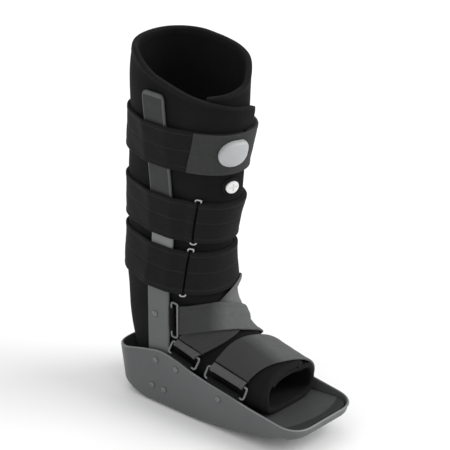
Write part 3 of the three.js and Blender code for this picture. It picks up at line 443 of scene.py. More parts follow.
made = upright_paint = Finish("upright_paint", (0.1, 0.104, 0.104), 0.5, (90, 5, 0.42, 0.56), ((2200, 2, 0.00003),),
                              Specular_IOR_Level=0.22)
_, place_y, place_z = made.place()
aside = made.worked("ABSOLUTE", made.worked("SUBTRACT", place_y, STRUT_Y))
# Painted highlight: 1 along the rounded side edges and the top of the bar.
edge_highlight_mask = made.worked("MAXIMUM", made.spread(aside, limits=(0.0136, 0.0144)),
                         made.spread(place_z, limits=(STRUT_TOP - 0.0052, STRUT_TOP - 0.0044)))
# Painted shade on the upper bar, lighter where the painted highlight runs along its edges.
painted_shade_part = made.spread(edge_highlight_mask, (0.026, 0.027, 0.027), (0.085, 0.088, 0.088), (0, 1))
# Painted light: the bar turns lighter between the straps low on the shaft.
painted_light_part = made.spread(place_z, (0.112, 0.116, 0.116), (0.2, 0.205, 0.205), (0.15, 0.2))
made.feed("Base Color", made.blend(made.spread(place_z, limits=(0.225, 0.25)), painted_light_part, painted_shade_part))

made = insole_foam = Finish("insole_foam", (0.038, 0.039, 0.039), 0.85, (80, 3, 0.7, 0.9), ((1600, 2, 0.00008),),
                            Specular_IOR_Level=0.3)
place_x, place_y, _ = made.place()
bow = made.worked("MULTIPLY", made.worked("MULTIPLY", place_x, place_x), 5.0)
# Painted shade: the colour is dark in a band at the toe end, in front of a bent line, where the footbed's edge slopes
# down.
behind = made.spread(made.worked("SUBTRACT", place_y, bow), limits=(-0.1785, -0.1765))
made.feed("Base Color", made.blend(behind, (0.017, 0.0175, 0.0175),
                                   made.cloud(18, 4, (0.037, 0.038, 0.038), (0.047, 0.048, 0.048))))

rivet_paint = Finish("rivet_paint", (0.15, 0.153, 0.155), 0.2, (700, 4, 0.14, 0.3), ((1500, 2, 0.00003),),
                     Metallic=0.7, Specular_IOR_Level=0.6)
ring_paint = Finish("ring_paint", (0.16, 0.163, 0.165), 0.28, (500, 4, 0.2, 0.36), ((1800, 2, 0.00002),),
                    Metallic=0.6, Specular_IOR_Level=0.6)
wire_steel = Finish("wire_steel", (0.42, 0.43, 0.44), 0.32, (500, 4, 0.25, 0.42), ((1800, 2, 0.00002),),
                    Metallic=1.0)
valve_plastic = Finish("valve_plastic", (0.72, 0.72, 0.71), 0.35, (400, 3, 0.28, 0.42), ((1500, 2, 0.00002),))
bulb_rubber = Finish("bulb_rubber", (0.4, 0.41, 0.42), 0.34, (120, 3, 0.32, 0.45), ((1500, 2, 0.00003),),
                     Coat_Weight=0.15, Coat_Roughness=0.3)
bulb_rubber.feed("Base Color", bulb_rubber.cloud(60, 3, (0.39, 0.4, 0.41), (0.42, 0.43, 0.44)))
print(len(bpy.data.materials), "hard finishes")

# %% [markdown]
# Cloth. Webbing is woven, so its bump is two sets of ribs multiplied, with a nap
# of fine loops over them. It is drawn on the strap's own flat map, so it follows
# every bend. Where a grey strap is rolled over a ring's bar, the roll carries a
# painted highlight and the slit behind it painted shadow. The start of a grey
# strap is painted darker, partly for its darker folded-back part and partly as
# painted shade. The instep strap's webbing is a lighter copy with painted light,
# and the tabs' webbing a darker copy with painted shade.

# %% Cloth and webbing
liner_cloth = Finish("liner_cloth", (0.0085, 0.0083, 0.0083), 0.95, (900, 4, 0.88, 1.0),
                     ((900, 4, 0.0003), (35, 3, 0.0012)), Sheen_Weight=0.02, Sheen_Roughness=0.5,
                     Specular_IOR_Level=0.08)
liner_cloth.feed("Base Color", liner_cloth.cloud(22, 4, (0.0072, 0.007, 0.007), (0.01, 0.0097, 0.0097)))
made = binding_tape = Finish("binding_tape", (0.009, 0.0088, 0.0088), 0.85, Sheen_Weight=0.02, Sheen_Roughness=0.45,
                             Specular_IOR_Level=0.12)
made.feed("Base Color", made.cloud(120, 3, (0.0075, 0.0073, 0.0073), (0.0098, 0.0095, 0.0095)))
made.bumped((made.waves(900, "X"), 0.00012), (made.noise(900, 3), 0.0001))


def shade(colour, factor):
    return tuple(c * factor for c in colour)


def webbing(name, colour, near=None, roll=None, fades=0.046, seams=None):
    """Woven strap. near is the colour of its start, painted darker than the rest:
    partly the strap's darker folded-back part, partly painted shade. fades is the
    length at which that start ends, roll the length of the roll over a bar, which
    is painted with a highlight and followed by a slit of painted shadow, and seams
    the place of the first line of stitches and the distance between lines."""
    made = Finish(name, colour, 0.9, (1300, 3, 0.8, 1.0), Sheen_Weight=0.03, Sheen_Roughness=0.45,
                  Specular_IOR_Level=0.12)
    along, across, _ = made.flat()
    tone = made.cloud(160, 4, shade(colour, 0.92), shade(colour, 1.08))
    # The start is painted darker: partly the strap's darker folded-back part, partly painted shade.
    if near:
        start = near
        # The roll is painted lighter, a painted highlight, and the slit just past it darker, a painted shadow.
        if roll:
            start = made.spread(along, shade(near, 1.9), shade(near, 0.12), (roll - 0.0022, roll - 0.0016))
            start = made.blend(made.spread(along, limits=(roll + 0.0002, roll + 0.0008)), start, near)
        tone = made.blend(made.spread(along, limits=(fades - 0.01, fades + 0.01)), start, tone)
    if seams:
        beside = made.worked("PINGPONG", made.worked("SUBTRACT", across, seams[0]), seams[1] / 2)
        tone = made.blend(made.spread(beside, limits=(0.0004, 0.0009)), shade(colour, 1.65), tone)
    made.feed("Base Color", tone)
    weave = made.worked("MULTIPLY", made.waves(700, "X"), made.waves(420, "Y"))
    made.bumped((weave, 0.00012), (made.noise(1300, 3), 0.00022), (made.noise(55, 2), 0.0008))
    return made


# START_GREY paints the start of a grey strap darker: partly its darker folded-back part, partly painted shade.
STRAP_GREY, START_GREY, ROLLED = (0.1, 0.102, 0.102), (0.044, 0.0445, 0.0445), 0.0135
black_webbing = webbing("black_webbing", (0.0098, 0.0095, 0.0094), seams=(0.0052, 0.0203))
grey_webbing = webbing("grey_webbing", (0.04, 0.041, 0.0405))
foot_webbing = webbing("foot_webbing", STRAP_GREY, START_GREY)
rolled_webbing = webbing("rolled_webbing", STRAP_GREY, START_GREY, ROLLED, 0.058)
# A lighter copy of the grey webbing: painted light on the instep strap, whose far part lies in shade.
instep_webbing_painted_light = webbing("instep_webbing_painted_light", (0.135, 0.137, 0.137), (0.04, 0.0405, 0.0405), ROLLED, 0.078)
# Black webbing for the ring tabs, painted darker still: painted shade inside the rings.
tab_webbing_painted_shade = webbing("tab_webbing_painted_shade", (0.006, 0.006, 0.006))
print(len(bpy.data.materials), "finishes in all")

# %% [markdown]
# ## The liner's form
# The liner is one thick sheet of foam wrapped into a shaft and a toe part, with
# its outer flap coming over the front from the right. Its outer face is a stack
# of rounded sections: level ones down the shaft, then a fan of tilted ones round
# the heel and out to the toe opening. Each section is a superellipse, squarer
# than an ellipse. Lofted curves would do as well, but these sections also say
# where the straps lie.

# %% Sections of the liner
STRUT_IN_SHELL = HALF - SHELL_WALL - WALL_LEAN - GAP
INNER_HALF = min(STRUT["side"][0] * HALF, STRUT_IN_SHELL) - STRUT_THICK - GAP
SHAFT_POWER, FAN_TOP_POWER, FAN_SOLE_POWER = 2.3, 2.4, 3.6
TOP_EDGE = TOP_STRAP + CALF_WIDTH
LEVELS = np.array([BOOT_HEIGHT, 0.410, 0.390, 0.370, TOP_EDGE, 0.333, 0.316, TOP_STRAP, 0.28, 0.262, 0.237,
                   MIDDLE_STRAP, 0.200, 0.183, 0.166, LOW_STRAP])[:, None]
FLAP_CORNER = 0.009


def strut_face(z):
    """How far an upright's outer face stands from the middle at a height."""
    free = read(STRUT, "up", "side", z / BOOT_HEIGHT) * HALF
    return np.where(z < SHELL_HEIGHT, np.minimum(free, STRUT_IN_SHELL), free)


def section(front, back, middle, side, powers, turn):
    """A superellipse: from the middle towards its front or back end by
    |cos|^(2/power), and out to the side by |sin|^(2/power)."""
    a = np.radians(turn)
    ahead = np.cos(a) >= 0
    power = 2 / np.where(ahead, powers[0], powers[1])
    reach = np.abs(np.cos(a)) ** power
    across = np.sign(np.sin(a)) * np.abs(np.sin(a)) ** power
    ends = [np.where(ahead, f, b) for f, b in zip(front, back)]
    y, z = (m + (end - m) * reach for m, end in zip(middle, ends))
    return np.stack(np.broadcast_arrays(-side * across, y, z), axis=-1)


def shaft_sections(z, turn):
    """Level sections at heights z, between the two uprights."""
    front, rear = ((y_at(read(SHAFT, "up", end, z / BOOT_HEIGHT)), z) for end in ("front", "back"))
    return section(front, rear, (STRUT_Y, z), strut_face(z) - STRUT_THICK - GAP, (SHAFT_POWER, SHAFT_POWER), turn)


def fan_sections(turn):
    """Tilted sections that fan from the ankle to the toe opening."""
    column = {key: np.array(values, float)[:, None] for key, values in FAN.items()}
    along_fan = np.linspace(0, 1, len(FAN["over"]))[:, None]
    front, under = (y_at(column["over"]), column["rise"] * BOOT_HEIGHT), y_at(column["under"])
    rear = (under, insole_at(under) + GAP + column["lift"] * BOOT_HEIGHT)
    share = 0.56 - 0.10 * np.minimum(1, along_fan * 2)
    middle = tuple(b + (f - b) * share for f, b in zip(front, rear))
    powers = (SHAFT_POWER + (FAN_TOP_POWER - SHAFT_POWER) * along_fan,
              SHAFT_POWER + (FAN_SOLE_POWER - SHAFT_POWER) * np.minimum(1, along_fan * 1.6))
    return section(front, rear, middle, INNER_HALF * column["side"], powers, turn)


def liner_face(turn, fine):
    """The liner's outer face, a row for each section, read finely between them.
    The top rows follow the rim, with the flap's corner cut round."""
    corner = np.clip((-15 - turn) / 9, 0, 1)
    rim = read(RIM, "turn", "up", turn)[None] * BOOT_HEIGHT - FLAP_CORNER * (1 - np.sqrt(1 - corner[None] ** 2))
    share = (LEVELS - TOP_EDGE) / (BOOT_HEIGHT - TOP_EDGE)
    height = np.where(LEVELS > TOP_EDGE, TOP_EDGE + (rim - TOP_EDGE) * share, LEVELS)
    rows = np.concatenate([shaft_sections(height, turn[None]), fan_sections(turn[None])])
    length = np.concatenate([[0], np.cumsum(np.linalg.norm(np.diff(rows, axis=0), axis=-1).mean(axis=1))])
    return at_rows(rows, np.interp(fine * length[-1], length, np.arange(len(length)))), length[-1]


core, liner_length = liner_face(np.arange(-24, 336, 3.0), np.linspace(0, 1, 140))
print("liner outer face", core.shape, "runs", round(liner_length, 3), "metres from rim to toe opening")

# %% [markdown]
# ## The padded liner
# A single sheet of foam about 6 mm thick: its middle surface lies half the
# thickness inside the outer face, and dips a further thickness where the flap
# covers it. The raised border is where tape binds the cut edges. Hollows and
# swells a hand wide, faint ones, keep the foam from looking like moulded plastic.
# A sculpt or a cloth simulation could make it too. A formula gives the same form
# each time, and the straps and tapes can be cut from it.

# %% The liner
FLAP_TURN, TUCK_START, TUCK_END = -24.0, 300.0, 336.0
BINDING, FOAM_EDGE, STEP_SHARPNESS, SWELL, SWELL_FADE = 0.009, 0.003, 0.0004, 0.00045, 0.02
fine_turns = [[0, 0.25, 0.6, 1.2, 2.2], np.linspace(3.6, 428.4, 168), [429.8, 430.8, 431.4, 431.75, 432]]
turns = FLAP_TURN + np.concatenate(fine_turns)
down = edge_steps(liner_length, 190, FOAM_EDGE)
face, _ = liner_face(turns, down / liner_length)
liner_out = normals_of(face)
girth = run_of(face[40])
to_edge = np.minimum(np.minimum(down, liner_length - down)[:, None], np.minimum(girth, girth[-1] - girth)[None])
tuck = (FOAM + GAP) * ramp((turns - TUCK_START) / (TUCK_END - TUCK_START))
swell = SWELL * np.sin(down * 70)[:, None] * np.sin(np.radians(turns)[None] * 3 + down[:, None] * 22)
swell = swell * np.clip((to_edge - BINDING) / SWELL_FADE, 0, 1)
liner_middle = face - liner_out * (tuck[None] + FOAM / 2 - swell)[..., None]
half = FOAM / 2 - 0.0002 + 0.0004 / (1 + np.exp((to_edge - BINDING) / STEP_SHARPNESS))
half = half * edge_round(down, liner_length, FOAM_EDGE)[:, None] * edge_round(girth, girth[-1], FOAM_EDGE)[None]
liner = slab("liner_foam", liner_middle, liner_out, half, flat_map(girth, down), liner_cloth, "liner")

# %% [markdown]
# ## Binding tape
# A woven tape is sewn over the foam's cut edges at the rim, the flap's free edge
# and the toe opening. It could be a curve with a bevel. Here it is a profile,
# down the outer face, round the edge in a half circle and down the inner face,
# carried along the liner's own middle surface, so that it fits it exactly.

# %% Binding tape along the liner's edges
TAPE_HALF, TAPE_BEND = FOAM / 2 + 0.0004, 0.0032
half_turn = np.linspace(0, math.pi, 9)[1:-1]
flat_depth = np.linspace(BINDING, TAPE_BEND, 5)
tape_depth = np.concatenate([flat_depth, TAPE_BEND - TAPE_HALF * np.sin(half_turn), flat_depth[::-1]])
tape_side = np.concatenate([np.full(5, TAPE_HALF), TAPE_HALF * np.cos(half_turn), np.full(5, -TAPE_HALF)])
tape_side[0], tape_side[-1] = FOAM / 2 - 0.0006, 0.0006 - FOAM / 2


def tape(name, sheet, outwards, depths):
    """Carries the profile along one edge of the liner: sheet holds places on the
    middle surface at growing depth from the edge. Both ends close on a point."""
    where = np.interp(np.clip(tape_depth, 0, depths[-1]), depths, np.arange(len(depths)))
    beyond = np.minimum(tape_depth, 0)[:, None, None] * unit(sheet[1] - sheet[0])[None]
    grid = at_rows(sheet, where) + beyond + unit(at_rows(outwards, where)) * tape_side[:, None, None]
    centre = grid.mean(axis=0, keepdims=True) + 0 * grid
    grid = np.concatenate([centre[:, :1], grid, centre[:, -1:]], axis=1)
    run = run_of(sheet[0])
    flat = flat_map(np.concatenate([run[:1], run, run[-1:]]), tape_depth)
    return piece_from(name, [(grid, flat, True, False)], binding_tape)


rim_rows = down < 0.014
toe_rows = (liner_length - down)[::-1] < 0.014
flap_columns = girth < 0.016
tape("rim_tape", liner_middle[rim_rows], liner_out[rim_rows], down[rim_rows])
tape("toe_tape", liner_middle[::-1][toe_rows], liner_out[::-1][toe_rows], (liner_length - down)[::-1][toe_rows])
tape("flap_tape", liner_middle[:, flap_columns].transpose(1, 0, 2), liner_out[:, flap_columns].transpose(1, 0, 2),
     girth[flap_columns])

# %% [markdown]
# ## The shell
# The rocker shell is one moulding: a sole that is flat in the middle and curls up
# at heel and toe, with a wall round it that is highest beside the ankle. It could
# be sculpted from a box. Here it is a set of outlines, each drawn in a little
# from the widest one and lifted to its height, which keeps the wall even and the
# rim's curve free. An outline squeezed to the centre line closes the mesh.

# %% The shell's outline
def sole_outline(inset, heel_inset):
    """Half an outline, toe to heel, mirrored: straight sides between corners
    that are superellipses."""
    tip, heel = float(y_at(1)) + inset, float(y_at(0)) - heel_inset
    wide, toe_r, heel_r = HALF - inset, TOE_CORNER - inset, HEEL_CORNER - inset
    a, power = np.linspace(0, math.pi / 2, 22), 2 / 2.5
    toe_x, toe_y = wide - toe_r + toe_r * np.sin(a) ** power, tip + toe_r - toe_r * np.cos(a) ** power
    heel_x, heel_y = wide - heel_r + heel_r * np.cos(a) ** power, heel - heel_r + heel_r * np.sin(a) ** power
    cap = np.linspace(0, 1, 8)[1:-1]
    side_y = np.linspace(tip + toe_r, heel - heel_r, 70)[1:-1]
    x = np.concatenate([cap * toe_x[0], toe_x, np.full(len(side_y), wide), heel_x, heel_x[-1] * cap[::-1]])
    y = np.concatenate([np.full(6, toe_y[0]), toe_y, side_y, heel_y, np.full(6, heel_y[-1])])
    return np.concatenate([x, -x[::-1]]), np.concatenate([y, y[::-1]])


def drawn_in(y, squeeze):
    """Ends drawn towards the middle as the sides are, though much less."""
    middle = float(y_at(0.5))
    return middle + (y - middle) * (1 - 0.12 * (1 - squeeze))


def shell_ring(inset, lean, height, squeeze=1.0):
    """One outline at its height; squeeze pulls its sides to the centre line."""
    x, y = sole_outline(WALL_LEAN * lean + inset, HEEL_LEAN * lean + inset)
    y = drawn_in(y, squeeze)
    return np.stack([x * squeeze, y, height(y)], axis=-1)


print(len(sole_outline(0, 0)[0]), "points in an outline")

# %% [markdown]
# The outlines go up the outside, over the lip and down the inside: the sole's
# rounded edge follows a quarter circle, the wall stands up from it with a slight
# lean, and the lip is a half circle. The moulding has the same wall all over.

# %% Base shell
LIP = SHELL_WALL / 2
outside = [shell_ring(SOLE_ROUND, 1, keel_at, k) for k in (0, 0.3, 0.65, 0.9)]
outside += [shell_ring(SOLE_ROUND * (1 - math.sin(a)), 1, lambda y: keel_at(y) + SOLE_ROUND * (1 - math.cos(a)))
            for a in np.linspace(0, math.pi / 2, 7)]
outside += [shell_ring(0, 1 - k, lambda y: keel_at(y) + SOLE_ROUND + (rim_at(y) - LIP - keel_at(y) - SOLE_ROUND) * k)
            for k in np.linspace(0.06, 1, 14)]
over_lip = [shell_ring(LIP * (1 - math.cos(a)), 0, lambda y: rim_at(y) - LIP + LIP * math.sin(a))
            for a in np.linspace(0, math.pi, 8)[1:-1]]
inside = [shell_ring(SHELL_WALL, 1 - k, lambda y: floor_at(y) + (rim_at(y) - LIP - floor_at(y)) * k)
          for k in np.linspace(1, 0, 8)]
inside += [shell_ring(SHELL_WALL + 0.004, 1, floor_at, k) for k in (1, 0.7, 0.35, 0)]
shell_grid = np.stack(outside + over_lip + inside)
# Rows over the outer half of the lip are 1 in the flat map, which paints a highlight along the rim.
rim_highlight = np.zeros(shell_grid.shape[:2] + (2,))
rim_highlight[len(outside):len(outside) + 3, :, 0] = 1
piece_from("shell_moulding", [(shell_grid, rim_highlight, False, True)], shell_plastic, "base_shell")

# %% [markdown]
# ## The footbed
# A foam sole lies in the shell and shows in front of the liner. It is made like
# the shell, from outlines that fit inside the wall and, further back, between
# the uprights. Its top sinks a little from its rounded edge to its middle.

# %% Footbed
REACH = INNER_HALF - 0.001 - GAP


def bed_ring(x, y, depth):
    """An outline at a share of the way from the shell's floor to the top."""
    low = floor_at(y) + GAP
    return np.stack([x, y, low + (insole_at(y) - low) * depth], axis=-1)


rings = []
for depth, inset in ((0.0, 0.0), (0.3, 0), (0.8, 0), (0.95, 0.0006), (1.0, 0.002), (0.97, 0.006), (0.94, 0.012)):
    x, y = sole_outline(WALL_LEAN + SHELL_WALL + GAP + inset, HEEL_LEAN + SHELL_WALL + GAP + inset)
    room = REACH + (HALF - REACH) * ramp((share_at(y) - 0.42) / 0.2)
    rings.append(bed_ring(np.sign(x) * np.minimum(np.abs(x), room - inset), y, depth))
first, last = rings[0], rings[-1]
rings += [bed_ring(last[:, 0] * k, drawn_in(last[:, 1], k), 0.94) for k in (0.85, 0.6, 0.3, 0)]
bed_grid = np.stack([bed_ring(0 * first[:, 0], drawn_in(first[:, 1], 0), 0)] + rings)
piece_from("footbed", [(bed_grid, bed_grid[..., :2], False, True)], insole_foam, "insole")

# %% [markdown]
# ## Uprights
# Each upright is a bar of stamped metal that follows the shaft from inside the
# shell to above the top strap. A box with a Simple Deform could be bent like it.
# Here its middle surface is a ribbon that bends in one direction, with soft edges
# and rounded top corners, and reads its bend from the same table as the liner.

# %% Uprights
BAR_EDGE, BAR_CORNER, SIDES = 0.0016, 0.007, (("right", -1), ("left", 1))
for name, side in SIDES:
    low = float(floor_at(STRUT_Y)) + 0.003
    z = low + edge_steps(STRUT_TOP - low, 90, BAR_EDGE)
    over = np.clip((z - (STRUT_TOP - BAR_CORNER)) / BAR_CORNER, 0, 1)
    reach = STRUT_WIDTH / 2 - BAR_CORNER * (1 - np.sqrt(np.clip(1 - over ** 2, 0, 1)))
    v = edge_steps(2.0, 12, 0.12)
    x = side * (strut_face(z) - STRUT_THICK / 2)
    middle = np.stack(np.broadcast_arrays(x[:, None], STRUT_Y + reach[:, None] * (v[None] - 1), z[:, None]), axis=-1)
    out = np.zeros_like(middle)
    out[..., 0], out[..., 2] = 1, -np.gradient(x, z)[:, None]
    half = STRUT_THICK / 2 * edge_round(z - low, STRUT_TOP - low, BAR_EDGE)[:, None] * edge_round(v, 2.0, 0.12)[None]
    slab(f"bar_{name}", middle, unit(out), half, middle[..., 1:], upright_paint, f"upright_{name}")

# %% [markdown]
# ## Rivets
# Rivets hold the uprights and the webbing tabs to the shell. Each is a turned
# profile, as the Screw modifier makes: a flat dome with a small dimple, a pin
# through the wall and a flat head inside.

# %% Rivets
HEAD_SEAT, TAB_DEPTH, TAB_THICK, RING_WIRE = 0.0003, 0.016, 0.0011, 0.0032
EYE = RING_WIRE / 2 + GAP + TAB_THICK
RIVETS = {"upright_top": (0.251, 0.812), "upright_heel": (0.226, 0.325), "upright_toe": (0.291, 0.322),
          "instep": (0.3625, 0.79), "forefoot": (0.591, 0.585)}
RINGS = {"instep": (0.318, 0.462), "forefoot": (0.512, 0.718)}
RIVET_RADIUS = np.array([0, 0.5, 0.9, 1.3, 2.4, 3.3, 3.85, 4.0, 3.9, 2.0, 2.0, 3.4, 3.4, 3.0, 0]) / 1000
RIVET_HEAD = np.array([1.15, 1.2, 1.5, 1.62, 1.45, 1.05, 0.5, 0.2, 0, 0]) / 1000
RIVET_TAIL = np.array([0, 0, 0.8, 1.0, 1.0]) / 1000


def rivet(name, cad, seat, y, z, side, inner):
    """A profile turned about the rivet's own axis, which points along X."""
    along = np.concatenate([RIVET_HEAD, inner - seat - HEAD_SEAT - RIVET_TAIL])
    turn = np.linspace(0, 2 * math.pi, 28, endpoint=False)
    x = side * (seat + HEAD_SEAT + along)[:, None] + 0 * turn
    radius = RIVET_RADIUS[:, None]
    grid = np.stack([x, y + radius * np.cos(turn), z + radius * np.sin(turn)], axis=-1)
    piece_from(name, [(grid, None, False, True)], rivet_paint, cad)


def web_face(name):
    """Where a webbing tab's outer face hangs inside the leaning wall."""
    y = y_at(RINGS[name][1])
    return float(HALF - SHELL_WALL - GAP - WALL_LEAN * (TAB_DEPTH + EYE) / (rim_at(y) - floor_at(y)))


def wall_face(y, z):
    """How far the shell's outer face stands from the middle."""
    low = keel_at(y) + SOLE_ROUND
    return float(HALF - WALL_LEAN * (1 - np.clip((z - low) / (rim_at(y) - low), 0, 1)))


for name, (at, up) in RIVETS.items():
    y, z = float(y_at(at)), up * SHELL_HEIGHT
    for where, side in SIDES:
        holds = web_face(name) - TAB_THICK if name in RINGS else float(strut_face(z)) - STRUT_THICK
        rivet(f"{where}_{name}_rivet", f"rivet_{where}_{name}", wall_face(y, z), y, z, side, holds)
ANKLE_LOW = SHELL_HEIGHT + 0.013 + 2 * EYE + 0.002
ANKLE_HIGH = ANKLE_LOW + 0.036 + 2 * RING_WIRE + 2 * GAP
ANKLE_MID = (ANKLE_LOW + ANKLE_HIGH) / 2
ankle_seat = float(strut_face(ANKLE_MID))
rivet("ankle_rivet", "rivet_right_ankle", ankle_seat, float(y_at(0.236)), ANKLE_MID, -1, ankle_seat - STRUT_THICK)

# %% [markdown]
# ## Where straps lie
# A strap under tension takes the shortest way round what it holds. So at each
# height the line it follows is the convex hull of the liner and the two uprights:
# for every direction in the plane, the point that reaches farthest that way. A
# cloth simulation would find the same line, slowly and less evenly.

# %% Tight lines
WAYS = np.radians(np.arange(0, 360, 0.75))
EASING, GIRTH_RISE, GIRTH_STEP = 0.0016, 0.002, 0.001


def hull_of(points, ways):
    """Corners of the tightest loop round flat points, in the order of ways."""
    far = np.argmax(points @ np.stack([np.cos(ways), np.sin(ways)]), axis=0)
    return far[np.concatenate([[True], far[1:] != far[:-1]])]


def eased(line, step, reach=EASING):
    """Rounds a line of evenly spaced places off with a bell curve."""
    wide = max(int(3 * reach / step), 1)
    bell = np.exp(-0.5 * (np.arange(-wide, wide + 1) * step / reach) ** 2)
    long = np.concatenate([2 * line[:1] - line[wide:0:-1], line, 2 * line[-1:] - line[-2:-wide - 2:-1]])
    return np.stack([np.convolve(c, bell / bell.sum(), mode="valid") for c in long.T], axis=1)


def on_line(line, run, places):
    """Reads a line at lengths along it."""
    return np.stack([np.interp(places, run, c) for c in line.T], axis=1)


GIRTH_Z, GIRTH_S = np.arange(0.140, 0.396, GIRTH_RISE), np.arange(-0.14, 0.52, GIRTH_STEP)
girth_lines, wholes = [], []
for z in GIRTH_Z:
    points = shaft_sections(np.array([z]), np.arange(0, 360, 2.0))[:, :2]
    if z <= STRUT_TOP:
        corners = [[a * float(strut_face(z)), STRUT_Y + b * STRUT_WIDTH / 2] for a in (-1, 1) for b in (-1, 1)]
        points = np.concatenate([points, corners])
    loop = points[hull_of(points, WAYS - math.pi / 2)]
    loop = np.concatenate([loop, loop[:1]])
    run = run_of(loop)
    before = run < run[np.argmax(loop[:, 1])]
    front_at = np.interp(0, loop[before, 0], run[before])
    girth_lines.append(eased(on_line(loop, run, (GIRTH_S + front_at) % run[-1]), GIRTH_STEP))
    wholes.append(run[-1])
girth_map = np.stack(girth_lines)
girth_map = np.concatenate([girth_map, np.broadcast_to(GIRTH_Z[:, None, None], girth_map.shape[:2] + (1,))], axis=-1)
girth_out = normals_of(girth_map)
girth_out *= np.sign(np.sum(girth_out[0, 140] * [0, -1, 0]))
print("round the shaft, mm:", np.round(np.array(wholes)[::20] * 1000))


def around(z, s, height=0.0):
    """A place on the tight loop at height z, a length s from the front, and the
    way out there: the four nearest entries of the table, weighed by nearness."""
    z, s, height = np.broadcast_arrays(z, s, height)
    i = np.clip((z - GIRTH_Z[0]) / GIRTH_RISE, 0, len(GIRTH_Z) - 1.001)
    j = np.clip((s - GIRTH_S[0]) / GIRTH_STEP, 0, len(GIRTH_S) - 1.001)
    a, b = i.astype(int), j.astype(int)
    u, v = (i - a)[..., None], (j - b)[..., None]

    def mixed(table):
        low = table[a, b] * (1 - v) + table[a, b + 1] * v
        high = table[a + 1, b] * (1 - v) + table[a + 1, b + 1] * v
        return low * (1 - u) + high * u
    out = unit(mixed(girth_out))
    return mixed(girth_map) + out * height[..., None], out


# %% [markdown]
# ## Webs
# A strap is a web of 2 mm, hemmed along both edges, with a seam along its middle.
# Hem and seam are part of the thickness, because they show in the outline and in
# the light. Where a web runs over a wire, its height follows a quarter circle.

# %% How a web is made
WEB, WEB_EDGE, SEAT, LOOP_WIRE = 0.002, 0.0007, 0.001, 0.0024
LOOP_WIDTH, FOLD, EDGE_STEP = 0.009, 0.090, 0.0005
WIRE_AT = LOOP_WIDTH / 2 - LOOP_WIRE / 2
BASE_LAYER, TOP_LAYER = SEAT + WEB / 2, SEAT + WEB * 1.5 + 0.0003
WIRE_HIGH = SEAT + LOOP_WIRE / 2 + GAP
WIRE_SLOPE, HEM, HEM_THICK, SEAM_DEEP, STITCH_AT, STITCH_DEEP = 0.011, 0.0048, 0.0004, 0.0005, 0.0056, 0.0003


def over_wire(along, plain):
    """Height of a strap's middle at a length from the loop's centre: round the
    wire in a quarter circle, then down to its plain height in an easy curve."""
    clear = LOOP_WIRE / 2 + WEB / 2 + 0.0001
    arc = np.sqrt(np.clip(clear ** 2 - np.minimum(along - WIRE_AT, 0) ** 2, 0, None))
    ease = ramp((along - WIRE_AT) / WIRE_SLOPE)
    return (WIRE_HIGH + arc) * (1 - ease) + plain * ease


def web_half(across, width, along, length):
    """Half the thickness of a web: bound edges, a centre seam, round borders."""
    near = np.minimum(across, width - across)
    bound = HEM_THICK / (1 + np.exp((near - HEM) / 0.0002))
    seam = SEAM_DEEP * np.exp(-((across - width / 2) / 0.0008) ** 2)
    stitched = STITCH_DEEP * np.exp(-((near - STITCH_AT) / 0.0006) ** 2)
    thick = (WEB / 2 + bound - seam - stitched) * edge_round(across, width, WEB_EDGE)
    return thick[:, None] * edge_round(along, length, WEB_EDGE)[None]


def web_columns(length, step=0.0022):
    """Places along a web, close together at both ends."""
    fine = np.array([0, 0.00008, 0.0002, 0.0004, 0.0007, 0.0011, 0.0016, 0.0021, 0.0027, 0.0034, 0.0044, 0.006])
    middle = np.linspace(fine[-1], length - fine[-1], int(length / step))[1:-1]
    return np.concatenate([fine, middle, length - fine[::-1]])


def web_piece(name, cad, middle, out, across, width, along, paint):
    """A web as a sheet; also its cut size and its outer face."""
    half = web_half(across, width, along, along[-1])
    piece = slab(name, middle, out, half, flat_map(along, across), paint, cad)
    return piece, (width, float(along[-1])), middle + out * half[..., None]


print("height over the wire and past it, mm:", np.round(over_wire(np.array([0, WIRE_AT, 0.02]), BASE_LAYER) * 1000, 2))

# %% [markdown]
# ## Calf straps
# Three black straps close the shaft. Two of them pass through a wire loop near the
# front: one end bulges over each of the loop's wires, and the tail lies folded
# back on the strap, a little narrower. The top one meets under a grey tab. Since
# the tight loop is already a table, a strap is only a choice of lengths round the
# shaft, heights and a lift.

# %% Calf straps
NEAR_EDGE, BESIDE_LOOP, RIPPLE = 0.0014, LOOP_WIDTH / 2 + 3 * GAP, 0.00028
LOOPED = (("low", LOW_STRAP, -0.042, -0.009), ("middle", MIDDLE_STRAP, -0.043, 0.003))


def calf_strap(name, cad, low, start, stop, layer, lean=0.0, inset=0.0, wire_start=None, wire_stop=None,
               slant=0.0, paint=black_webbing):
    """A strap between two lengths from the front; a stop of nothing or less is
    what the strap lacks of the whole way round. wire_start and wire_stop are
    its ends' distances from the centre of a wire loop."""
    width = CALF_WIDTH - 2 * inset
    across = edge_steps(width, 46, WEB_EDGE)
    z = (low + inset + across)[:, None]
    reach = np.interp(z, GIRTH_Z, wholes) + stop if stop <= 0 else stop - start + 0 * z
    length = float(reach.mean())
    along = web_columns(length)
    shift = lean * (1 - across / width)[:, None] + slant * (across / width - 0.5)[:, None] * (1 - along / length)[None]
    s = start + shift + along[None] / length * reach
    height = np.full_like(s, layer)
    if wire_start is not None:
        height = over_wire(along + wire_start, layer)[None] + 0 * s
    if wire_stop is not None:
        height = np.where(along[None] > length / 2, over_wire(length - along + wire_stop, layer)[None], height)
    height = height + RIPPLE * np.sin(s * 95 + z * 60) * np.sin(z * 140 + s * 31)
    middle, guide = around(z, s, height)
    out = normals_of(middle)
    out *= np.sign(np.sum(out * guide, axis=-1, keepdims=True))
    return web_piece(name, cad, middle, out, across, width, along, paint)


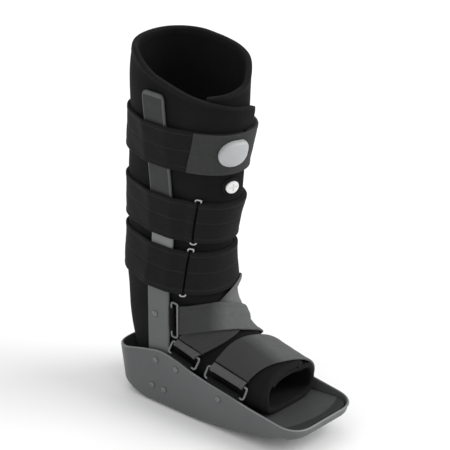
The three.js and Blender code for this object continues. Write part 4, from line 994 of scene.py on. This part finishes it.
straps, low_layers = [], []
for name, low, place, lean in LOOPED:
    band, band_cut, band_face = calf_strap(f"{name}_band", f"strap_{name}", low, place + BESIDE_LOOP,
                                           -BESIDE_LOOP - NEAR_EDGE, BASE_LAYER, lean, wire_stop=NEAR_EDGE)
    tail, tail_cut, tail_face = calf_strap(f"{name}_tail", f"strap_{name}_fold", low, place + NEAR_EDGE,
                                           place + NEAR_EDGE + FOLD, TOP_LAYER, lean, EDGE_STEP, NEAR_EDGE)
    straps += [(band, band_cut, "liner_foam"), (tail, tail_cut, band.name)]
    low_layers = low_layers or [band_face, tail_face]
top_band, top_cut, _ = calf_strap("top_band", "strap_top", TOP_STRAP, 0.0, -BESIDE_LOOP, BASE_LAYER)
top_tab, tab_cut, _ = calf_strap("top_tail", "strap_top_tab", TOP_STRAP, -0.059, 0.080, TOP_LAYER,
                                 inset=EDGE_STEP, slant=0.001, paint=grey_webbing)
straps += [(top_band, top_cut, "liner_foam"), (top_tab, tab_cut, "top_band")]

# %% [markdown]
# ## Wire loops and rings
# Bent wire holds the straps: two steel loops near the front of the shaft, and
# three painted rings for the lower straps. A curve with a bevel gives the same
# form. Here a circle is carried round a path of straight runs and quadratic
# bends, so the mesh closes on itself.


# %% Wire loops
def wire(name, cad, corners, radius, bend, paint=wire_steel):
    """A closed loop of round wire: quadratic bends joined by straight runs."""
    corners = np.array(corners, float)
    before, after = np.roll(corners, 1, 0), np.roll(corners, -1, 0)
    entry, leave = corners + unit(before - corners) * bend, corners + unit(after - corners) * bend
    t = np.linspace(0, 1, 9)[:, None]
    arcs = [(1 - t) ** 2 * a + 2 * t * (1 - t) * c + t * t * b for a, c, b in zip(entry, corners, leave)]
    path = np.concatenate([np.concatenate([arc, arc[-1] + (then[0] - arc[-1]) * np.linspace(0, 1, 10)[1:-1, None]])
                           for arc, then in zip(arcs, arcs[1:] + arcs[:1])])
    flat = unit(np.cross(corners[1] - corners[0], corners[-1] - corners[0]))
    ahead = unit(np.roll(path, -1, 0) - np.roll(path, 1, 0))
    side = unit(np.cross(ahead, flat))
    other = np.cross(side, ahead)
    a = np.linspace(0, 2 * math.pi, 20, endpoint=False)[:, None]
    grid = path[:, None] + radius * (np.cos(a) * side[:, None] + np.sin(a) * other[:, None])
    piece_from(name, [(grid, None, True, True)], paint, cad)


for name, low, place, lean in LOOPED:
    past = 0.003 / CALF_WIDTH
    share = np.array([-past, 0.5, 1 + past])
    spots = [(low + CALF_WIDTH * k, place + lean * (1 - k) + side)
             for side, order in ((WIRE_AT, share), (-WIRE_AT, share[::-1])) for k in order]
    wire(f"{name}_wire", f"loop_{name}", [around(z, s, WIRE_HIGH)[0] for z, s in spots], LOOP_WIRE / 2, LOOP_WIRE)

# %% [markdown]
# Each ring hangs in a short webbing tab that is riveted inside the shell's wall
# or behind the upright. The tab's profile is a straight run and most of a circle
# round the ring's lower bar, drawn out to the tab's width.

# %% Rings and webbing tabs
RING_BEND, RING_HIGH, RING_LEAN, TAB_EDGE = 0.004, 0.013, 0.005, 0.0004


def web_tab(name, cad, bar, width, tail, length):
    """Webbing round a bar: up from its tail, over the bar and half round it."""
    radius = RING_WIRE / 2 + GAP / 2 + TAB_THICK / 2
    turn = np.linspace(0, math.pi * 1.3, 22)
    x = np.concatenate([np.full(12, radius), radius * np.cos(turn[1:])])
    y = np.concatenate([np.linspace(-length, 0, 12), radius * np.sin(turn[1:])])
    across = edge_steps(width, 14, TAB_EDGE)
    middle = bar.mean(axis=0) + np.array([1.0, 0, 0]) * x[:, None] - unit(np.array(tail, float)) * y[:, None]
    middle = middle[:, None] + unit(bar[1] - bar[0]) * (across - width / 2)[None, :, None]
    run = run_of(np.stack([x, y], axis=1))
    half = TAB_THICK / 2 * edge_round(run, run[-1], TAB_EDGE)[:, None] * edge_round(across, width, TAB_EDGE)[None]
    slab(name, middle, normals_of(middle), half, flat_map(across, run), tab_webbing_painted_shade, cad)
    print(name, "cut", np.round([width, run[-1]], 4))


def ring(name, corners):
    wire(f"{name}_wire_ring", f"ring_{name}", corners, RING_WIRE * 0.41, RING_BEND * 0.8, ring_paint)


bars = {}
for name, ends in RINGS.items():
    ends_y = y_at(ends)
    ends_z = rim_at(ends_y)
    probe = np.linspace(0, 1, 11)
    over_line = rim_at(ends_y[0] + (ends_y[1] - ends_y[0]) * probe) - ends_z[0] - (ends_z[1] - ends_z[0]) * probe
    x = -(web_face(name) - TAB_THICK + EYE)
    bar = np.stack([np.full(2, x), ends_y, ends_z + max(0, float(over_line.max())) + EYE + 2 * GAP], axis=1)
    along = unit(bar[1] - bar[0])
    up = np.cross([1, 0, 0], along)
    up = up * np.sign(up[2])
    upper = bar + up * RING_HIGH + np.array([RING_LEAN, 0, 0])
    ring(name, [bar[0], bar[1], upper[1], upper[0]])
    inner_width = np.linalg.norm(bar[1] - bar[0]) - RING_WIRE - 2 * RING_BEND
    web_tab(f"{name}_web", f"tab_{name}", bar, inner_width, -up, TAB_DEPTH + EYE)
    bars[name] = (upper.mean(axis=0), along)
ankle_x = -(float(strut_face(ANKLE_HIGH)) - STRUT_THICK - GAP - TAB_THICK + EYE)
ankle_back = STRUT_Y - STRUT_WIDTH / 2 - EYE - GAP
bar, front_bar = (np.array([[ankle_x, y, ANKLE_LOW], [ankle_x, y, ANKLE_HIGH]])
                  for y in (ankle_back, ankle_back - 0.009))
ring("ankle", [bar[0], front_bar[0], front_bar[1], bar[1]])
web_tab("ankle_web", "tab_ankle", bar, 0.036 - 2 * RING_BEND, (0, 1, 0), STRUT_WIDTH * 0.8)
bars["ankle"] = (front_bar.mean(axis=0), np.array([0, 0, -1.0]))

# %% [markdown]
# ## Lines of a lower strap
# Each line across a lower strap lies in one plane, through its place on the ring's
# bar, a place on top of the liner and one on the far side. In that plane it
# follows the tight line round the liner and whatever straps lie under it. A
# Shrinkwrap would press the strap into every hollow, which real webbing spans.

# %% Lines of a lower strap
left_corners = np.stack([np.stack([strut_face(GIRTH_Z), np.full(len(GIRTH_Z), STRUT_Y + k * STRUT_WIDTH / 2),
                                   GIRTH_Z], axis=1) for k in (-1, 1)], axis=1)
core_closed = np.concatenate([core, core[:, :1]], axis=1)
ROLL, ROLL_TURN, LINE_STEPS = RING_WIRE / 2 + GAP + WEB / 2, math.radians(115), 240
ROLL_RUN, SLIT_AT, SLIT_DEEP, FOLD_AT, FOLD_HIGH, FOLD_RUN = 0.014, 0.0078, 0.0014, 0.0085, 0.0018, 0.05
START_AHEAD, START_RUN = 0.002, 0.012


def crossings(grid, origin, normal):
    """Where a plane meets a grid's lines."""
    away = (grid - origin) @ normal
    found = []
    for a, b, p, q in ((grid[:-1], grid[1:], away[:-1], away[1:]),
                       (grid[:, :-1], grid[:, 1:], away[:, :-1], away[:, 1:])):
        hit = p * q < 0
        found.append(a[hit] + (b[hit] - a[hit]) * (p[hit] / (p[hit] - q[hit]))[:, None])
    return np.concatenate(found)


def tight_line(start, top, end, under, axis):
    """The tight line from start over the grids under it, in the plane of the
    three places, until it passes the end's Y (axis 1) or height (axis 2)."""
    normal = unit(np.cross(top - start, end - start))
    right = unit(end - start)
    up = np.cross(normal, right)
    up = up * np.sign(up[2])
    points = np.concatenate([start[None]] + [crossings(grid, start, normal) for grid in under])
    order = hull_of((points - start) @ np.stack([right, up], axis=1), math.radians(250) - WAYS)
    line = points[np.roll(order, -int(np.argmin(order)))]
    past = (line[:, 0] > 0) & ((line[:, axis] < end[axis]) if axis == 2 else (line[:, axis] > end[axis]))
    k = int(np.argmax(past))
    a, b = line[k - 1], line[k]
    line = np.concatenate([line[:k], [a + (b - a) * (end[axis] - a[axis]) / (b[axis] - a[axis])]])
    run = run_of(line)
    spots = np.linspace(0, run[-1], LINE_STEPS)
    return eased(on_line(line, run, spots), run[-1] / (LINE_STEPS - 1), 0.0025), run[-1]


def eased_rows(grid):
    """Evens out neighbouring lines of a strap, its borders kept in place."""
    for _ in range(6):
        grid = np.concatenate([grid[:1], (grid[:-2] + 2 * grid[1:-1] + grid[2:]) / 4, grid[-1:]])
    return grid


def roll_on(grid, out, along, narrow):
    """The strap's start, rolled over its bar: part of a circle round the bar
    that runs on into the strap. Past the roll lies the edge of the fold. narrow
    is the share of its width that the roll lacks."""
    ease = ramp(along / ROLL_RUN)
    fold = FOLD_HIGH / (1 + np.exp((FOLD_AT - along) / 0.00025)) * (1 - np.clip((along - 0.01) / FOLD_RUN, 0, 1))
    slit = SLIT_DEEP * np.exp(-((along - SLIT_AT) / 0.0007) ** 2)
    height = ROLL + (BASE_LAYER - ROLL) * ease + fold - slit
    to_centre = grid[:, :1].mean(axis=0, keepdims=True) - grid[:, :1]
    run = grid + to_centre * (narrow * (1 - ease))[None, :, None] + out * height[None, :, None]
    turn = np.linspace(ROLL_TURN, 0, 14)[:-1, None]
    ahead = unit(grid[:, 4:5] - grid[:, :1])
    arc = grid[:, :1] + to_centre * narrow + ROLL * (out[:, :1] * np.cos(turn) - ahead * np.sin(turn))
    length = ROLL * (ROLL_TURN - turn[:, 0])
    return np.concatenate([arc, run], axis=1), np.concatenate([length, ROLL * ROLL_TURN + along])


print("a roll takes", round(ROLL * ROLL_TURN * 1000, 1), "mm of a strap")

# %% [markdown]
# ## Lower straps
# Three grey straps run from the rings over instep, ankle and forefoot to the far
# side. Two start with a roll over their bar, and the ankle strap just behind it.
# Each is laid over the ones made before it, so they cross without touching.

# %% Lower straps
def lower_strap(name, width, over, anchor, under, axis, paint, narrow=None):
    """A strap from a ring's bar; over and anchor each hold two places, one for
    each border, as shares of half width, length and height. Its cut reaches
    back to the bar."""
    centre, along_bar = bars[name]
    bar = [centre - along_bar * width / 2, centre + along_bar * width / 2]
    over, anchor = ([np.array([side * HALF, float(y_at(at)), up * BOOT_HEIGHT]) for side, at, up in rows]
                    for rows in (over, anchor))
    across = edge_steps(width, 34, WEB_EDGE)
    lines, runs = zip(*[tight_line(*(pair[0] + (pair[1] - pair[0]) * share for pair in (bar, over, anchor)),
                                   under, axis) for share in across / width])
    grid = eased_rows(np.stack(lines))
    length = float(np.mean(runs))
    ahead = START_AHEAD if narrow is None else 0.0
    along = web_columns(length - ahead)
    if narrow is not None:
        along = np.concatenate([np.arange(0, ROLL_RUN, 0.0004), np.linspace(ROLL_RUN, length - 0.006, 50),
                                length - web_columns(0.02)[10::-1]])
    spots = (along + ahead) / length * (LINE_STEPS - 1)
    middle = at_rows(grid.transpose(1, 0, 2), spots).transpose(1, 0, 2)

    def outwards():
        out = normals_of(middle)
        return out * np.sign(out[17, len(along) // 2, 2])
    out = outwards()
    if narrow is None:
        middle = middle + out * (BASE_LAYER * ramp(along / START_RUN))[None, :, None]
    else:
        middle, along = roll_on(middle, out, along, narrow)
        out = outwards()
    piece, cut, top = web_piece(f"{name}_strap", f"strap_{name}", middle, out, across, width, along, paint)
    straps.append((piece, (width, max(length, cut[1])), "liner_foam"))
    return top


instep_face = lower_strap("instep", 0.037, [(0.37, 0.460, 0.358), (0.37, 0.545, 0.262)],
                         [(0.92, 0.215, 0.250), (0.92, 0.215, 0.175)], [core_closed, left_corners] + low_layers,
                         1, instep_webbing_painted_light, narrow=0.1)
lower_strap("ankle", 0.036, [(0.37, 0.474, 0.284), (0.37, 0.595, 0.233)],
           [(0.88, 0.330, 0.190), (0.88, 0.445, 0.150)], [core_closed, instep_face] + low_layers, 2, foot_webbing)
lower_strap("forefoot", 0.049, [(0.37, 0.620, 0.228), (0.37, 0.800, 0.202)],
           [(0.88, 0.650, 0.100), (0.88, 0.790, 0.095)], [core_closed, instep_face], 2, rolled_webbing, narrow=0.0)

# %% [markdown]
# ## Pump bulb and valve
# A rubber bulb on the top strap pumps air into the liner, and a small valve under
# it lets the air out. Both lie on the shaft, so each place on them is a length
# round it, a height and a lift away from it. The bulb's outline is a circle
# whose upper left corner is drawn out to a square one. The valve's button has a
# cross pressed into it.

# %% Bulb and valve
BULB_ACROSS, BULB_TALL, BULB_HIGH = 0.0275, 0.030, 0.0095
VALVE_AT, VALVE_Z = -0.009, TOP_STRAP - 0.0165
outline = np.linspace(0, 2 * math.pi, 72, endpoint=False)


def boss(name, cad, round_at, z_at, across, tall, corner, share, height, paint):
    """Rings of one outline, each a share of it wide and lifted to its height."""
    power = 2 / np.where((np.sin(outline) > 0) & (np.cos(outline) > 0), corner, 2.0)
    s, up = (np.sign(f(outline)) * np.abs(f(outline)) ** power * size / 2
             for f, size in ((np.sin, across), (np.cos, tall)))
    share, height = np.asarray(share)[:, None], np.asarray(height).reshape(len(share), -1)
    grid, _ = around(z_at + up * share, round_at + s * share, height + 0 * outline)
    piece_from(name, [(grid, None, False, True)], paint, cad)


a = np.linspace(0, math.pi / 2, 18)[1:]
share = np.concatenate([[0, 0.97, 1.0], 0.78 + 0.22 * np.cos(a) ** 0.8, 0.78 * np.linspace(0.9, 0, 8)])
dome = BULB_HIGH * np.concatenate([0.8 * np.sin(a), 0.8 + 0.2 * np.linspace(0.2, 1, 8) ** 0.7])
boss("bulb_dome", "pump_bulb", -0.0155, TOP_STRAP + 0.57 * CALF_WIDTH, BULB_ACROSS, BULB_TALL, 4.0, share,
     TOP_LAYER + WEB / 2 + np.concatenate([[0, 0, 0.0003], dome]), bulb_rubber)
boss("valve_ring", "valve_collar", VALVE_AT, VALVE_Z, 0.020, 0.020, 2.0, [0, 1, 1, 0.98, 0.93, 0.80, 0.74, 0],
     [0.0006, 0.0006, 0.0016, 0.0021, 0.0025, 0.0026, 0.0023, 0.0023], black_webbing)
share = np.concatenate([[0, 1, 1, 0.97, 0.9], np.linspace(0.84, 0, 18)])
arm = np.minimum(*(np.abs(share[:, None] * f(outline) * 0.007) for f in (np.sin, np.cos)))
mark = np.clip((0.0007 - arm) / 0.0003, 0, 1) * (share[:, None] < 0.62) * 0.0012
high = np.concatenate([[0.0029, 0.0029, 0.0050, 0.0056, 0.0058], np.full(18, 0.0058)])
boss("valve_button", "valve_cap", VALVE_AT, VALVE_Z, 0.014, 0.014, 2.0, share, high[:, None] - mark,
     valve_plastic)

# %% [markdown]
# ## Floor and light
# A white floor under a white sky gives the plain backdrop. One large lamp on the
# toe side lifts the surfaces that face forwards, and the boot's right side is
# left a little darker, which is what lets the straps read as layers. A wide angle
# on a distant lamp softens its shadows as a large lamp close by would.

# %% Stage
x, y = np.meshgrid(np.linspace(-3, 3, 5), np.linspace(-3, 3, 5))
floor_mesh = bpy.data.meshes.new("floor")
floor_mesh.from_pydata(np.stack([x, y, 0 * x], axis=-1).reshape(-1, 3), [], grid_faces(5, 5, False, False).tolist())
floor_mesh.materials.append(Finish("floor_white", (0.93, 0.93, 0.93), 0.9).material)
floor = bpy.data.objects.new("floor", floor_mesh)
bpy.context.collection.objects.link(floor)
world = bpy.data.worlds.new("studio")
world.use_nodes = True
world.node_tree.nodes["Background"].inputs["Color"].default_value = (1, 1, 1, 1)
world.node_tree.nodes["Background"].inputs["Strength"].default_value = 0.8
bpy.context.scene.world = world


def lamp(name, place, angle, strength):
    """A distant soft light that shines from a place towards the origin."""
    data = bpy.data.lights.new(name, "SUN")
    data.angle, data.energy = math.radians(angle), strength
    away = unit(np.array(place))
    side = unit(np.cross([0, 0, 1], away))
    stand(bpy.data.objects.new(name, data), np.stack([side, np.cross(away, side), away], axis=1), place)


lamp("toe_side", (0.9, -1.3, 1.3), 40, 1.5)
lamp("above", (-0.3, -0.2, 1.9), 70, 0.3)
bpy.context.scene.view_settings.view_transform = "Standard"
bpy.context.scene.view_settings.look = "None"
print(len(bpy.data.lights), "lamps")

# %% [markdown]
# ## Cut sizes
# Every strap is cloth that was cut flat, so its cut size is printed: its width,
# and the length of the tight line that it follows.

# %% Cut sizes of the straps
for piece, cut, rests in straps:
    print(piece.name, "cut", np.round(cut, 4))
